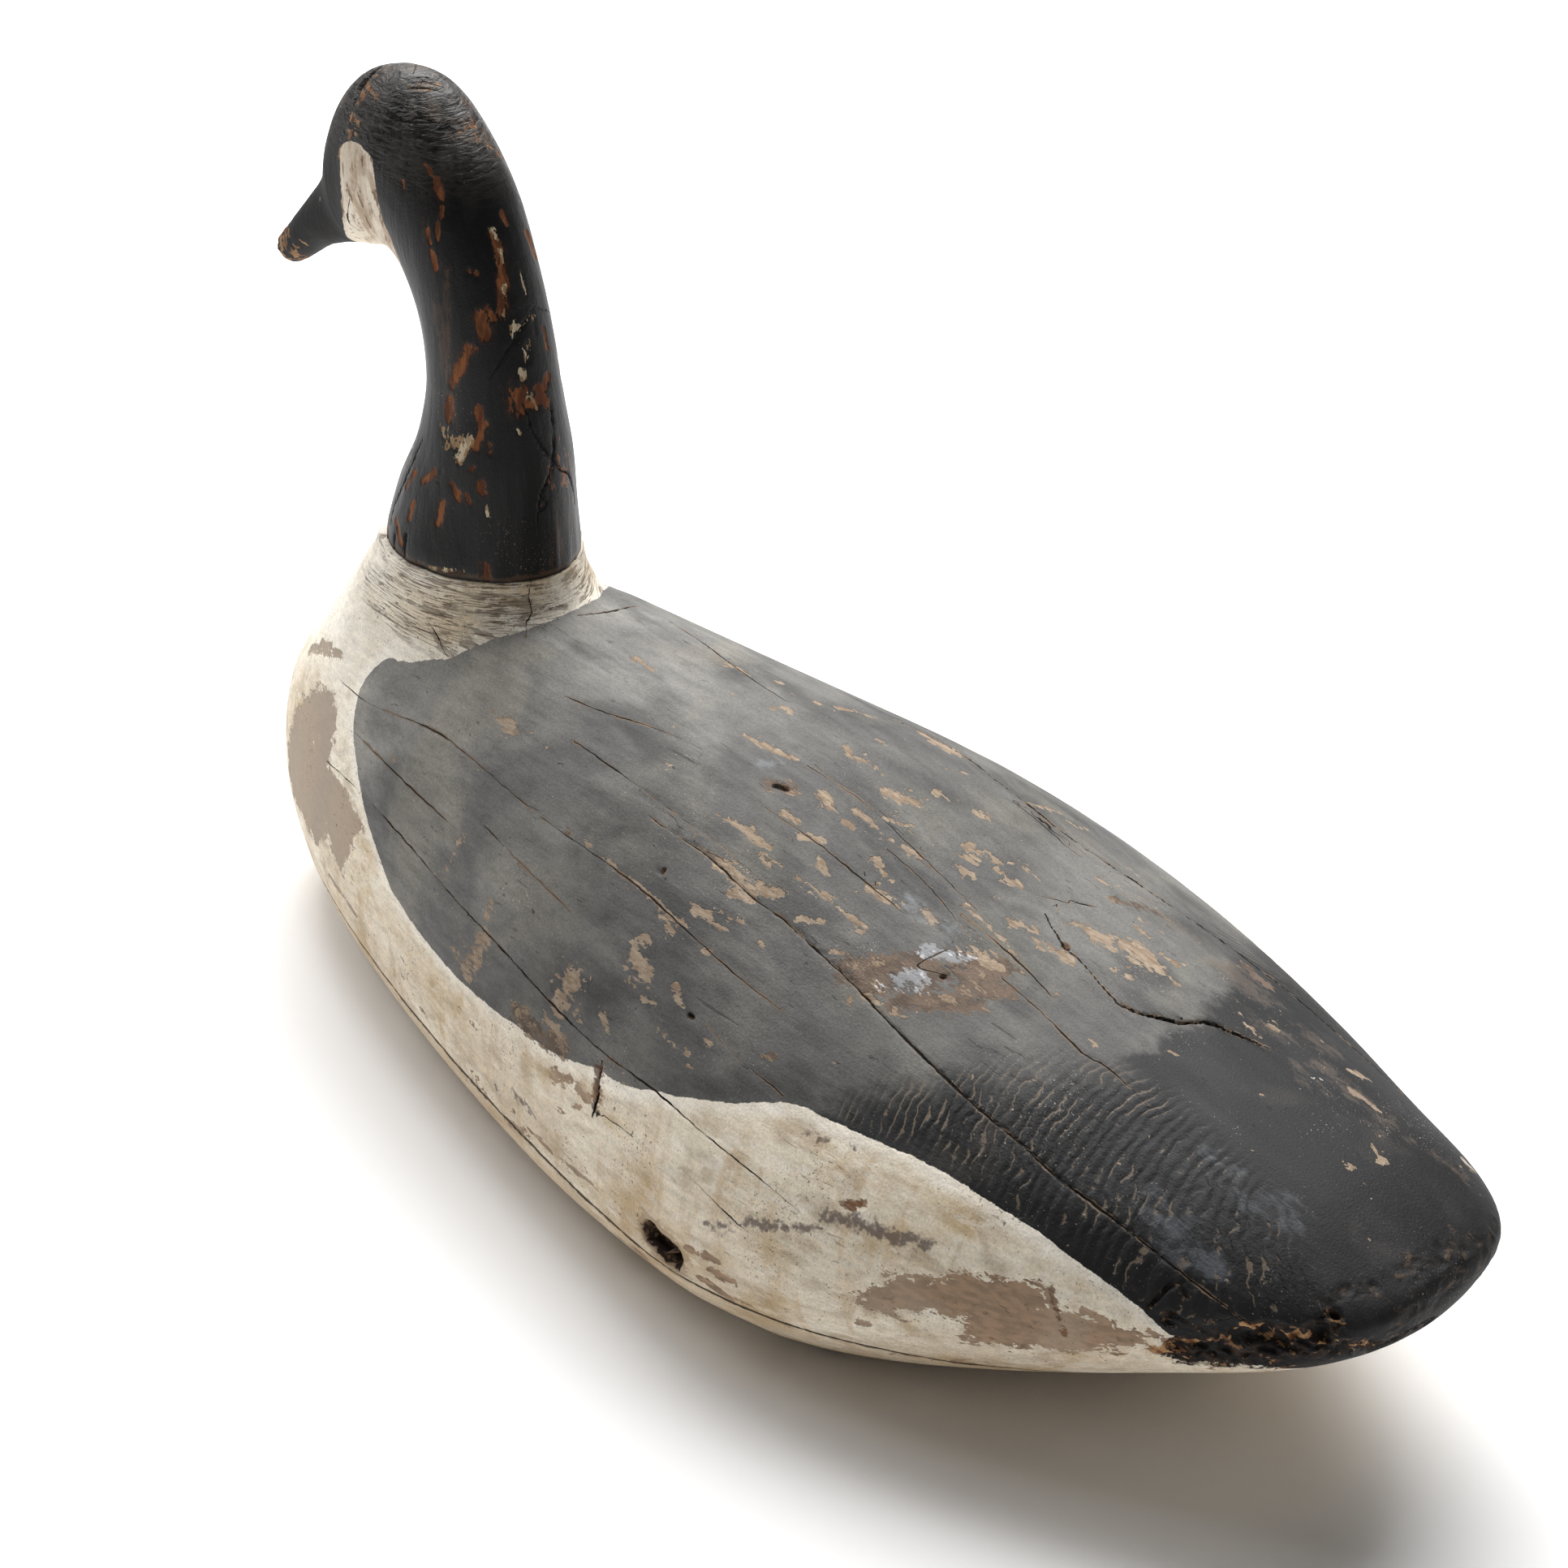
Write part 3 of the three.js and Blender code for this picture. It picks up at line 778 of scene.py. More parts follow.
@dataclass(frozen=True)
class BodyMarks:
    """The marks on the body, by their places in the photograph."""

    paint_edge: tuple[Pixel, ...] = (
        (690, 760), (649, 776), (600, 790), (549, 812), (508, 805), (476, 811), (449, 840), (437, 878),
        (436, 908), (443, 966), (455, 1019), (476, 1080), (487, 1104), (527, 1163), (579, 1219),
        (631, 1260), (686, 1300), (738, 1317), (765, 1336), (801, 1343), (853, 1353), (900, 1359),
        (976, 1359), (1018, 1378), (1083, 1407), (1155, 1440), (1210, 1475), (1277, 1516), (1331, 1558),
        (1395, 1603), (1446, 1650),
    )
    tail_edge: tuple[Pixel, ...] = (
        (976, 1362), (1035, 1364), (1107, 1337), (1171, 1318), (1230, 1334), (1290, 1330), (1362, 1312),
        (1416, 1295), (1450, 1272), (1480, 1262), (1500, 1235), (1516, 1195), (1545, 1172),
    )
    checks: tuple[Check, ...] = (
        Check(((405, 940), (447, 979), (501, 1038), (560, 1108), (616, 1167), (675, 1232), (738, 1293),
               (808, 1345), (865, 1395), (937, 1453), (987, 1495)), 0.55, 0.6, BOTH),
        Check(((418, 837), (457, 868), (533, 899), (579, 933), (633, 979), (686, 1021), (747, 1063),
               (801, 1105), (855, 1155), (916, 1209), (977, 1255)), 0.3, 0.2),
        Check(((694, 857), (740, 876), (812, 899), (885, 933)), 0.34, 0.25, BOTH),
        Check(((709, 914), (763, 952), (801, 979), (843, 1010), (900, 1052)), 0.34, 0.25),
        Check(((807, 1011), (871, 1054), (929, 1107), (964, 1132), (1011, 1175), (1050, 1211), (1093, 1257),
               (1143, 1307), (1200, 1361), (1257, 1409), (1300, 1448), (1377, 1506), (1468, 1578),
               (1514, 1613), (1558, 1646)), 0.75, 0.9, BOTH),
        Check(((1238, 1208), (1282, 1246), (1318, 1282), (1340, 1302), (1366, 1316), (1411, 1357)),
              0.36, 0.3),
        Check(((1000, 946), (1066, 990), (1120, 1040), (1164, 1082), (1200, 1118)), 0.36, 0.3),
        Check(((1190, 1130), (1215, 1150), (1260, 1190), (1300, 1232)), 0.3, 0.2),
        Check(((1100, 1052), (1128, 1076), (1160, 1110), (1190, 1150)), 0.3, 0.2),
        Check(((950, 1000), (1007, 1039), (1057, 1079), (1110, 1122)), 0.3, 0.2),
        Check(((1290, 1132), (1312, 1166), (1334, 1186), (1366, 1224), (1382, 1240)), 0.6, 0.8),
        Check(((1254, 992), (1282, 1014), (1316, 1044), (1340, 1062)), 0.3, 0.2),
        Check(((1160, 1200), (1130, 1190), (1180, 1164)), 0.3, 0.2),
        Check(((1293, 1106), (1314, 1112)), 0.34, 0.25),
        Check(((1320, 1110), (1344, 1116)), 0.8, 0.6),
        Check(((657, 716), (651, 735), (656, 754), (649, 766), (648, 780)), 0.5, 0.8),
        Check(((531, 772), (540, 786), (543, 796), (553, 811)), 0.4, 0.6),
        Check(((720, 757), (748, 754), (780, 747)), 0.5, 0.7),
        Check(((590, 1010), (640, 1062), (700, 1120)), 0.3, 0.3),
        Check(((440, 905), (500, 965), (560, 1020)), 0.3, 0.3, BOTH),
        Check(((873, 1265), (905, 1300), (960, 1345)), 0.3, 0.2),
        Check(((745, 1375), (775, 1397)), 0.36, 0.3),
        Check(((840, 1440), (900, 1500), (945, 1538)), 0.36, 0.3),
    )
    open_check: Check = Check(
        ((1378, 1237), (1402, 1248), (1430, 1255), (1454, 1261), (1482, 1259), (1510, 1268), (1534, 1280),
         (1557, 1289)), 1.3, 2.6)
    slit: Check = Check(((741, 1315), (737, 1335), (737, 1350), (731, 1370)), 1.0, 2.2)
    bare: tuple[Streak, ...] = strokes(
        (582, 1020, 543, 1080, 6), (605, 1110, 600, 1132, 8), (597, 1162, 575, 1198, 24, BOTH),
        (704, 1208, 690, 1240, 30, BOTH), (780, 1180, 796, 1200, 22), (795, 1158, 777, 1177, 16),
        (812, 1128, 828, 1148, 12), (630, 910, 657, 902, 6), (617, 885, 632, 895, 12),
        (484, 930, 486, 938, 8), (762, 799, 790, 822, 4), (775, 800, 806, 833, 4),
        (720, 1035, 760, 1070, 5), (770, 1075, 832, 1132, 5), (895, 817, 922, 830, 8),
        (952, 835, 975, 855, 4), (962, 872, 970, 874, 12), (1000, 865, 1040, 872, 6, BOTH),
        (1044, 874, 1087, 887, 8), (915, 905, 980, 937, 6), (1035, 905, 1048, 935, 6),
        (1050, 934, 1067, 938, 9), (1078, 946, 1088, 954, 8), (1092, 974, 1112, 984, 14, BOTH),
        (1112, 984, 1140, 994, 12), (1155, 980, 1164, 981, 10), (1196, 998, 1217, 1009, 9, BOTH),
        (1055, 998, 1090, 1030, 7), (1090, 1030, 1132, 1055, 8), (1092, 1008, 1122, 1022, 9),
        (1042, 1012, 1052, 1021, 8), (964, 1001, 984, 1014, 10), (986, 1030, 1014, 1036, 9),
        (882, 1002, 915, 1020, 7), (915, 1020, 948, 1045, 10), (938, 1056, 950, 1066, 8),
        (888, 1064, 925, 1092, 17, BOTH), (915, 1083, 963, 1103, 13), (906, 1101, 928, 1110, 9),
        (1000, 1092, 1022, 1105, 10), (1018, 1104, 1040, 1119, 8), (955, 1062, 1000, 1092, 5),
        (1040, 1122, 1080, 1158, 6), (1068, 1091, 1080, 1100, 12), (1080, 1102, 1100, 1114, 8),
        (1126, 1118, 1168, 1153, 9), (1190, 1114, 1238, 1158, 7), (1188, 1041, 1214, 1050, 12, BOTH),
        (1214, 1056, 1246, 1064, 9), (1228, 1071, 1244, 1080, 9), (1237, 1086, 1262, 1092, 9),
        (1168, 1062, 1198, 1078, 9), (1187, 1055, 1204, 1064, 7), (1244, 1137, 1274, 1148, 15),
        (1276, 1160, 1316, 1182, 13), (1320, 1138, 1360, 1160, 18, BOTH), (1380, 1160, 1418, 1186, 26),
        (1370, 1194, 1392, 1201, 8), (1428, 1176, 1452, 1189, 9), (1432, 1200, 1454, 1215, 4),
        (854, 1121, 876, 1128, 10), (882, 1121, 918, 1138, 4), (877, 1138, 948, 1168, 4),
        (868, 1172, 873, 1173, 9), (831, 1131, 850, 1142, 5), (832, 1216, 842, 1244, 10, BOTH),
        (985, 1132, 1012, 1136, 8), (1022, 1171, 1034, 1174, 9), (1046, 1128, 1064, 1153, 6),
        (1166, 948, 1190, 953, 5), (1268, 991, 1306, 1000, 7), (1318, 1014, 1346, 1026, 4),
        (1081, 911, 1089, 916, 8), (665, 1250, 687, 1270, 13, BOTH), (636, 1240, 640, 1262, 9),
        (738, 1250, 743, 1254, 9), (793, 1231, 797, 1234, 10), (712, 1256, 717, 1261, 8),
        (748, 1265, 752, 1270, 6), (770, 1293, 778, 1301, 6), (810, 1268, 834, 1290, 4),
        (843, 1302, 849, 1309, 9), (870, 1284, 875, 1287, 6), (1060, 1226, 1085, 1236, 8),
        (1345, 1284, 1349, 1288, 8), (1412, 1296, 1442, 1298, 5), (1352, 1083, 1372, 1093, 7),
        (1524, 1244, 1552, 1284, 6), (1308, 1222, 1313, 1226, 8), (1655, 1335, 1700, 1370, 7),
        (1660, 1320, 1675, 1325, 12), (1694, 1411, 1706, 1433, 7), (1660, 1435, 1664, 1439, 9),
        (1805, 1432, 1812, 1438, 12), (1570, 1265, 1580, 1268, 12),
    )
    brown: tuple[Streak, ...] = strokes(
        (1062, 1200, 1225, 1195, 58), (1190, 1225, 1245, 1220, 30), (634, 1250, 692, 1290, 27, BOTH),
        (945, 965, 976, 972, 20), (1100, 1235, 1210, 1240, 26), (1374, 1108, 1430, 1128, 16),
        (948, 1298, 953, 1302, 10), (1534, 1190, 1562, 1214, 18),
    )
    silver: tuple[Streak, ...] = strokes(
        (1108, 1208, 1130, 1206, 28), (1142, 1172, 1188, 1186, 18), (1132, 1165, 1150, 1168, 12),
        (1205, 1245, 1225, 1240, 6),
    )
    worn_white: tuple[tuple[Pixel, ...], ...] = (
        ((355, 915), (365, 875), (390, 845), (412, 857), (415, 890), (410, 915), (405, 945), (425, 970),
         (437, 995), (450, 1020), (437, 1030), (427, 1050), (420, 1075), (410, 1055), (405, 1030),
         (390, 1040), (375, 1010), (360, 975)),
        ((1057, 1602), (1075, 1585), (1110, 1570), (1165, 1575), (1180, 1565), (1205, 1580), (1250, 1575),
         (1280, 1585), (1290, 1610), (1330, 1620), (1405, 1645), (1415, 1658), (1330, 1665), (1280, 1660),
         (1195, 1655), (1192, 1625), (1130, 1617), (1080, 1622)),
    )
    flakes: tuple[Streak, ...] = strokes(
        (383, 800, 420, 806, 12), (396, 792, 408, 797, 10), (681, 1325, 702, 1333, 15, BOTH),
        (712, 1342, 725, 1354, 14), (708, 1362, 714, 1363, 8), (846, 1537, 884, 1554, 9),
        (876, 1565, 904, 1581, 10, BOTH), (864, 1576, 900, 1600, 11), (906, 1600, 926, 1610, 5),
        (1060, 1602, 1078, 1608, 10), (1058, 1629, 1068, 1632, 9), (1042, 1484, 1064, 1484, 11),
        (690, 1427, 730, 1460, 5, BOTH), (650, 1390, 680, 1420, 4), (405, 1078, 440, 1130, 5),
        (1290, 1590, 1305, 1640, 6), (1335, 1615, 1360, 1628, 9), (1415, 1640, 1440, 1655, 8),
    )
    smear: tuple[Streak, ...] = strokes(
        (872, 1511, 898, 1512, 9), (920, 1506, 958, 1511, 11), (962, 1512, 1010, 1514, 7),
        (1018, 1498, 1060, 1505, 12), (1060, 1507, 1105, 1525, 13), (1105, 1522, 1145, 1534, 13),
        (620, 1332, 660, 1375, 7), (612, 1340, 616, 1344, 10), (985, 1395, 1050, 1415, 6),
    )
    rust: tuple[Streak, ...] = strokes(
        (738, 1318, 733, 1366, 15), (1046, 1484, 1062, 1485, 9), (1295, 1590, 1310, 1645, 7),
        (1425, 1664, 1455, 1668, 14), (955, 968, 968, 971, 9), (1312, 1166, 1314, 1168, 9),
    )
    char: tuple[Streak, ...] = strokes(
        (1455, 1670, 1500, 1670, 42), (1500, 1664, 1560, 1668, 58), (1555, 1652, 1610, 1660, 50),
        (1610, 1668, 1700, 1662, 32), (1440, 1625, 1475, 1640, 16), (1620, 1640, 1640, 1628, 24),
        (1700, 1660, 1760, 1630, 18),
    )
    scarp: tuple[Streak, ...] = strokes(
        (1450, 1656, 1512, 1651, 7), (1512, 1651, 1530, 1632, 6), (1530, 1632, 1566, 1644, 9),
        (1566, 1647, 1612, 1648, 9), (1618, 1660, 1650, 1652, 7), (1665, 1660, 1700, 1658, 9),
        (1425, 1662, 1455, 1668, 16), (1555, 1690, 1600, 1682, 5),
    )
    gouge: tuple[Streak, ...] = strokes(
        (1417, 1608, 1440, 1585, 7), (1440, 1585, 1456, 1578, 9), (1452, 1582, 1462, 1598, 8),
    )
    rubbed: tuple[Streak, ...] = strokes(
        (1512, 1192, 1566, 1290, 40), (1566, 1290, 1640, 1350, 30), (1640, 1320, 1712, 1392, 34),
        (1410, 1110, 1470, 1160, 30), (1590, 1250, 1640, 1300, 26), (1730, 1400, 1790, 1440, 22),
    )
    chalk: tuple[Streak, ...] = strokes(
        (1620, 1329, 1629, 1330, 5), (1676, 1463, 1682, 1466, 4), (1690, 1476, 1697, 1480, 4),
        (1486, 1318, 1490, 1319, 4), (1802, 1428, 1812, 1438, 9),
    )
    knot: tuple[Streak, ...] = strokes((802, 1519, 830, 1549, 36))
    rim: tuple[Streak, ...] = strokes(
        (1610, 1660, 1690, 1656, 28, BOTH), (1690, 1656, 1727, 1634, 30, BOTH),
        (1727, 1634, 1766, 1602, 30, BOTH), (1766, 1602, 1803, 1571, 28, BOTH),
        (1803, 1571, 1829, 1540, 24, BOTH), (1829, 1540, 1842, 1505, 16, BOTH),
    )
    # Lighter bluish-grey patches: partly scuffed paint, partly painted sheen.
    scuff_and_sheen: tuple[Streak, ...] = strokes(
        (1545, 1488, 1598, 1512, 46), (1420, 1470, 1500, 1560, 44), (1122, 1112, 1165, 1142, 34),
        (940, 938, 966, 942, 16), (1480, 1420, 1520, 1440, 26), (490, 1090, 530, 1140, 14),
    )
    ripple_edge: tuple[Pixel, ...] = (
        (985, 1395), (1020, 1345), (1110, 1310), (1240, 1290), (1330, 1290), (1400, 1305), (1450, 1340),
        (1510, 1395), (1565, 1450), (1610, 1520), (1645, 1580), (1655, 1630), (1600, 1662), (1460, 1662),
        (1330, 1568), (1200, 1482), (1080, 1418),
    )
    flake_bridge: tuple[Streak, ...] = strokes((820, 1544, 838, 1538, 4))
    pits: tuple[Streak, ...] = strokes(
        (955, 968, 970, 972, 9), (1311, 1165, 1315, 1168, 9), (850, 1251, 854, 1254, 8),
        (815, 1075, 819, 1071, 7), (1160, 1203, 1164, 1204, 7),
    )


@dataclass(frozen=True)
class NeckMarks:
    """The marks on the neck and head, by their places in the photograph."""

    cheek: tuple[Pixel, ...] = (
        (419, 182), (428, 174), (440, 175), (452, 187), (459, 199), (461, 212), (466, 248), (474, 276),
        (484, 299),
    )
    cheek_front: tuple[Pixel, ...] = ((418, 182), (419, 210), (420, 240), (422, 262), (424, 282), (427, 292))
    checks: tuple[Check, ...] = (
        Check(((679, 500), (682, 552), (676, 588), (666, 612), (662, 652)), 0.8, 0.9, BOTH),
        Check(((668, 612), (673, 620), (668, 629), (663, 621), (668, 612)), 0.6, 0.6),
        Check(((478, 650), (477, 676)), 1.0, 1.2), Check(((487, 656), (484, 684)), 1.0, 1.2),
        Check(((501, 656), (497, 688)), 1.0, 1.2),
        Check(((521, 540), (500, 590), (486, 625), (481, 648)), 0.7, 0.7),
        Check(((652, 388), (632, 420), (620, 440), (608, 460)), 0.5, 0.4, BOTH),
        Check(((498, 104), (520, 101), (540, 106)), 0.6, 0.5, BOTH),
        Check(((500, 110), (520, 108), (541, 112)), 0.6, 0.5),
        Check(((503, 98), (522, 95), (538, 99)), 0.5, 0.4),
        Check(((470, 122), (490, 131), (515, 136)), 0.5, 0.4),
        Check(((468, 140), (495, 150), (530, 152)), 0.5, 0.4, BOTH),
        Check(((430, 250), (428, 270), (436, 280)), 0.5, 0.3),
    )
    split: Check = Check(((486, 76), (470, 82), (456, 94), (446, 108), (438, 122)), 2.6, 4.0)
    wood: tuple[Streak, ...] = strokes(
        (523, 202, 536, 222, 6), (536, 222, 545, 245, 9), (546, 255, 545, 268, 6), (540, 276, 540, 296, 5),
        (496, 222, 498, 236, 4), (527, 282, 530, 300, 5), (532, 310, 538, 332, 7), (607, 288, 618, 316, 9),
        (617, 316, 620, 345, 12, BOTH), (619, 345, 618, 385, 13), (594, 390, 600, 412, 17),
        (600, 380, 606, 392, 9), (578, 428, 566, 455, 13, BOTH), (566, 455, 557, 476, 12),
        (554, 492, 554, 516, 14), (596, 522, 587, 552, 13), (590, 506, 592, 518, 11),
        (636, 482, 640, 504, 20, BOTH), (646, 500, 662, 496, 12), (604, 548, 604, 558, 7),
        (520, 592, 536, 582, 10), (556, 596, 568, 610, 8), (594, 596, 594, 606, 9), (579, 580, 583, 576, 7),
        (546, 620, 539, 646, 11), (599, 698, 600, 714, 11), (578, 333, 579, 336, 5),
        (586, 335, 587, 338, 5), (670, 405, 675, 430, 7), (662, 478, 676, 500, 10, BOTH),
        (500, 600, 512, 580, 7), (488, 640, 494, 670, 7), (510, 620, 504, 640, 7), (560, 606, 566, 616, 7),
        (575, 610, 580, 620, 6), (618, 262, 624, 276, 5),
    )
    pale_wood: tuple[Streak, ...] = strokes(
        (452, 104, 462, 118, 7), (444, 112, 450, 116, 7), (434, 136, 440, 150, 9), (430, 140, 434, 146, 6),
        (438, 158, 430, 170, 5), (448, 120, 440, 132, 5), (556, 168, 572, 160, 4), (574, 157, 588, 156, 5),
        (586, 164, 588, 180, 4), (572, 140, 574, 150, 4), (350, 294, 345, 312, 34, BOTH),
        (356, 288, 364, 304, 12), (370, 296, 378, 302, 5, BOTH), (600, 178, 620, 196, 6),
        (420, 180, 416, 200, 3), (460, 96, 478, 84, 4), (500, 100, 540, 104, 4), (426, 160, 440, 166, 4),
        (500, 108, 536, 111, 3),
    )
    cream: tuple[Streak, ...] = strokes(
        (606, 282, 612, 292, 6), (616, 308, 622, 330, 3), (622, 350, 621, 392, 3), (642, 336, 648, 364, 4),
        (637, 406, 636, 418, 11), (650, 424, 652, 446, 8), (657, 392, 660, 410, 7), (644, 458, 645, 466, 7),
        (548, 536, 568, 552, 20), (580, 540, 566, 570, 9), (540, 592, 544, 580, 7), (654, 488, 662, 502, 8),
        (598, 624, 600, 636, 5), (637, 530, 640, 535, 5), (652, 388, 640, 410, 3), (530, 701, 572, 704, 6),
    )
    # Rubbed places on the crown and nape: partly worn paint, partly painted highlight on the crown.
    wear_and_highlight: tuple[Streak, ...] = strokes(
        (502, 104, 538, 104, 22, BOTH), (596, 150, 622, 185, 26, BOTH), (560, 165, 600, 175, 26),
        (500, 130, 560, 150, 30),
    )


@dataclass(frozen=True)
class BodyRelief:
    """How deep the body's marks are cut or how high they stand, in millimetres."""

    ripples: float = 0.28
    collar: float = 0.3
    crumble: float = 3.8
    scarp: float = 0.5
    rim: float = 0.7
    gouge: float = 2.2
    knot: float = 7.0
    bridge: float = 6.0
    pits: float = 1.6
    lost_paint: float = 0.25
    glue_line: float = 0.35
    seat_edge: float = 0.8
    uneven: float = 0.12


@dataclass(frozen=True)
class NeckRelief:
    """How deep the neck's marks are cut, in millimetres."""

    wood: float = 0.22
    crown: float = 0.2
    foot: float = 0.9
    bill: float = 0.9
    uneven: float = 0.1


@dataclass
class CarvedBody:
    """The body's two glued boards with all that age did to them.

    Args:
        seam: Heights of the lower board's top and the upper block's underside.
        seat: Height of the neck's seat.
        cell: Size of the first even mesh.
        pith: Where the tree's pith runs under the tail: along, across and up, with its slopes across and up
            and its bend, which is one part in that many metres.
        ring_gap: Thickness of a year ring.
        axis: Height of the axis about which places are unrolled.
        girth: Radius at which they are unrolled.
        wall: Radius of the white wall under the neck, and the height from which it is white.
        spare: How much taller the wood is at the neck's seat before it is sawn.
        crisp: Spheres inside which the form is left crisper: the broken corner and the knot.
        triangles: Triangles of the upper block and the lower board.
        marks: The marks.
        relief: Their depths.
    """

    seam: tuple[float, float] = (0.0338, 0.0341)
    seat: float = 0.1905
    cell: float = 0.0034
    pith: tuple[float, ...] = (-0.2012, 0.0187, 0.0488, 0.072, -0.169, -1.64)
    ring_gap: float = 0.00142
    axis: float = 0.055
    girth: float = 0.115
    wall: tuple[float, float] = (0.0478, 0.152)
    spare: float = 0.007
    crisp: tuple[tuple[float, ...], ...] = ((-0.28, 0.06, 0.09, 0.05), (-0.053, 0.133, 0.046, 0.02))
    triangles: tuple[int, int] = (186000, 60000)
    marks: BodyMarks = field(default_factory=BodyMarks)
    relief: BodyRelief = field(default_factory=BodyRelief)

    def unroll(self, places: np.ndarray, both_sides: bool = False) -> np.ndarray:
        """Returns places as distance along the body and round it.

        Args:
            places: The places, in metres.
            both_sides: Whether the far side counts downwards, in place of being the same as the near one.
        """
        turn = np.arctan2(places[:, 1] if both_sides else np.abs(places[:, 1]), places[:, 2] - self.axis)
        return np.stack([places[:, 0], self.girth * turn], axis=1)

    def fair_block(self, upper: bpy.types.Object, lower: bpy.types.Object) -> bpy.types.Object:
        """Returns both boards as one smooth block, a little taller at the neck's seat than it will be."""
        block = copy_node(upper, "body_block")
        board = copy_node(lower, "board_block")
        bpy.ops.object.select_all(action="DESELECT")
        board.select_set(True)
        block.select_set(True)
        bpy.context.view_layer.objects.active = block
        bpy.ops.object.join()
        places = places_of(block)
        places[places[:, 2] > self.seat - 0.2 * MM, 2] += self.spare
        move_to(block, places)
        fair(block, self.cell, 9, 2, np.array(self.crisp))
        return block

    def zone(self, skin: Skin, places: np.ndarray) -> np.ndarray:
        """Returns the distance from the edge of the white paint, positive in the white."""
        line = skin.pick(smooth_path(self.marks.paint_edge, 0.0))
        edge = self.unroll(line.points)
        ahead, behind = -0.3, -0.4
        edge = np.vstack([[edge[0, 0], ahead], edge, [behind, edge[-1, 1] - 4 * MM], [behind, ahead]])
        radius, foot = self.wall
        wall = np.minimum(radius - np.hypot(places[:, 0] - NECK_CENTRE, places[:, 1]), places[:, 2] - foot)
        return np.maximum(-inside(self.unroll(places), edge), wall)

    def tail_zone(self, skin: Skin, places: np.ndarray) -> np.ndarray:
        """Returns the distance from the edge of the blacker tail, positive in it."""
        line = skin.pick(self.marks.tail_edge)
        edge = self.unroll(line.points, True)
        behind, round_it = -0.45, 0.4
        far = [[edge[-1, 0] + 0.02, -round_it], [behind, -round_it]]
        edge = np.vstack([edge, far, [behind, round_it], [edge[0, 0], round_it]])
        return inside(self.unroll(places, True), edge)

    def rings(self, places: np.ndarray) -> np.ndarray:
        """Returns the number of year rings from the pith."""
        start, across, up, drift, climb, bend = self.pith
        run = places[:, 0] - start
        sideways = places[:, 1] - across - drift * run - bend * run * run
        apart = np.hypot(sideways, places[:, 2] - up - climb * run)
        return (apart + 0.0008 * rough(places, 0.018, 5, 4)) / self.ring_gap + 0.22 * noise(places, 0.0045, 9)

    def rippled(self, skin: Skin, places: np.ndarray) -> np.ndarray:
        """Returns how far the end grain is weathered into ripples, from 0 to 1."""
        line = skin.pick(self.marks.ripple_edge)
        within = inside(self.unroll(places), self.unroll(line.points))
        calm = ease(noise(places, 0.03, 3), -0.9, 0.2)
        dark = ease(self.zone(skin, places), 0.0, -0.003)
        near_side = ease(places[:, 1], -0.002, 0.016) + 0.6 * ease(places[:, 1], -0.055, -0.08)
        return ease(within, -0.004, 0.022) * (0.35 + 0.65 * calm) * dark * near_side

    def shelf(self, places: np.ndarray) -> np.ndarray:
        """Returns 1 on the raised wall under the neck and 0 away from it."""
        apart = np.hypot(places[:, 0] - NECK_CENTRE, places[:, 1])
        return ease(apart, 0.062, 0.046) * ease(places[:, 2], 0.155, 0.166)

    def carve(self, block: bpy.types.Object, skin: Skin) -> None:
        """Cuts checks, ripples, breaks and holes into the block."""
        deep = self.relief
        places, outward = places_of(block), directions_of(block)
        depth = cut_checks(places, skin, (*self.marks.checks, self.marks.open_check, self.marks.slit))
        ring = self.rings(places)
        wave = ring - np.floor(ring)
        saw_tooth = np.where(wave < 0.25, wave / 0.25, (1 - wave) / 0.75)
        depth += self.rippled(skin, places) * deep.ripples * MM * saw_tooth
        shelf = self.shelf(places)
        comb = np.abs(noise(places + np.array([0.1, 0.2, 0.3]), (0.03, 0.03, 0.0011), 8))
        depth += shelf * deep.collar * MM * (comb + 0.7 * np.abs(noise(places, (0.02, 0.02, 0.0022), 9)))
        crumble = ease(streaks_field(places, skin, self.marks.char, 1.6), -0.35, 0.35)
        bite = np.abs(noise(places, (0.012, 0.005, 0.004), 21))
        bite = bite + 0.6 * np.abs(noise(places, (0.005, 0.0022, 0.0022), 22))
        depth += crumble * deep.crumble * MM * bite
        scarp = ease(streaks_field(places, skin, self.marks.scarp), -0.4, 0.8)
        depth -= scarp * deep.scarp * MM * (0.5 + noise(places, 0.003, 23))
        rim = ease(streaks_field(places, skin, self.marks.rim, 1.6), -0.4, 0.4)
        depth += rim * deep.rim * MM * np.abs(noise(places, (0.006, 0.004, 0.003), 24))
        gouge = ease(streaks_field(places, skin, self.marks.gouge), -0.2, 0.8)
        depth += gouge * deep.gouge * MM * (0.7 + 0.5 * noise(places, (0.004, 0.002, 0.004), 25))
        knot = streaks_field(places, skin, self.marks.knot) + 0.4 * rough(places, 0.006, 31)
        depth += ease(knot, -0.1, 0.45) * deep.knot * MM * (0.8 + 0.3 * noise(places, 0.004, 32))
        bridge = ease(streaks_field(places, skin, self.marks.flake_bridge), -0.2, 0.6)
        depth -= bridge * deep.bridge * MM * ease(knot, -0.1, 0.3)
        pits = ease(streaks_field(places, skin, self.marks.pits) + 0.3 * noise(places, 0.003, 33), -0.1, 0.8)
        depth += pits * deep.pits * MM
        wear_and_highlight = np.maximum(streaks_field(places, skin, self.marks.flakes), self.worn_patches(skin, places))
        depth += ease(wear_and_highlight, -0.1, 0.15) * deep.lost_paint * MM
        seam = np.abs(places[:, 2] - SEAM_HEIGHT)
        depth += ease(seam, 1.8 * MM, 0.0) * deep.glue_line * MM * (0.8 + 0.8 * noise(places, 0.009, 41))
        edge = ease(np.abs(places[:, 2] - self.seat), 2.2 * MM, 0.0) * shelf
        depth += edge * deep.seat_edge * MM * (0.5 + noise(places, 0.005, 42))
        depth += deep.uneven * MM * noise(places, (0.05, 0.009, 0.009), 43)
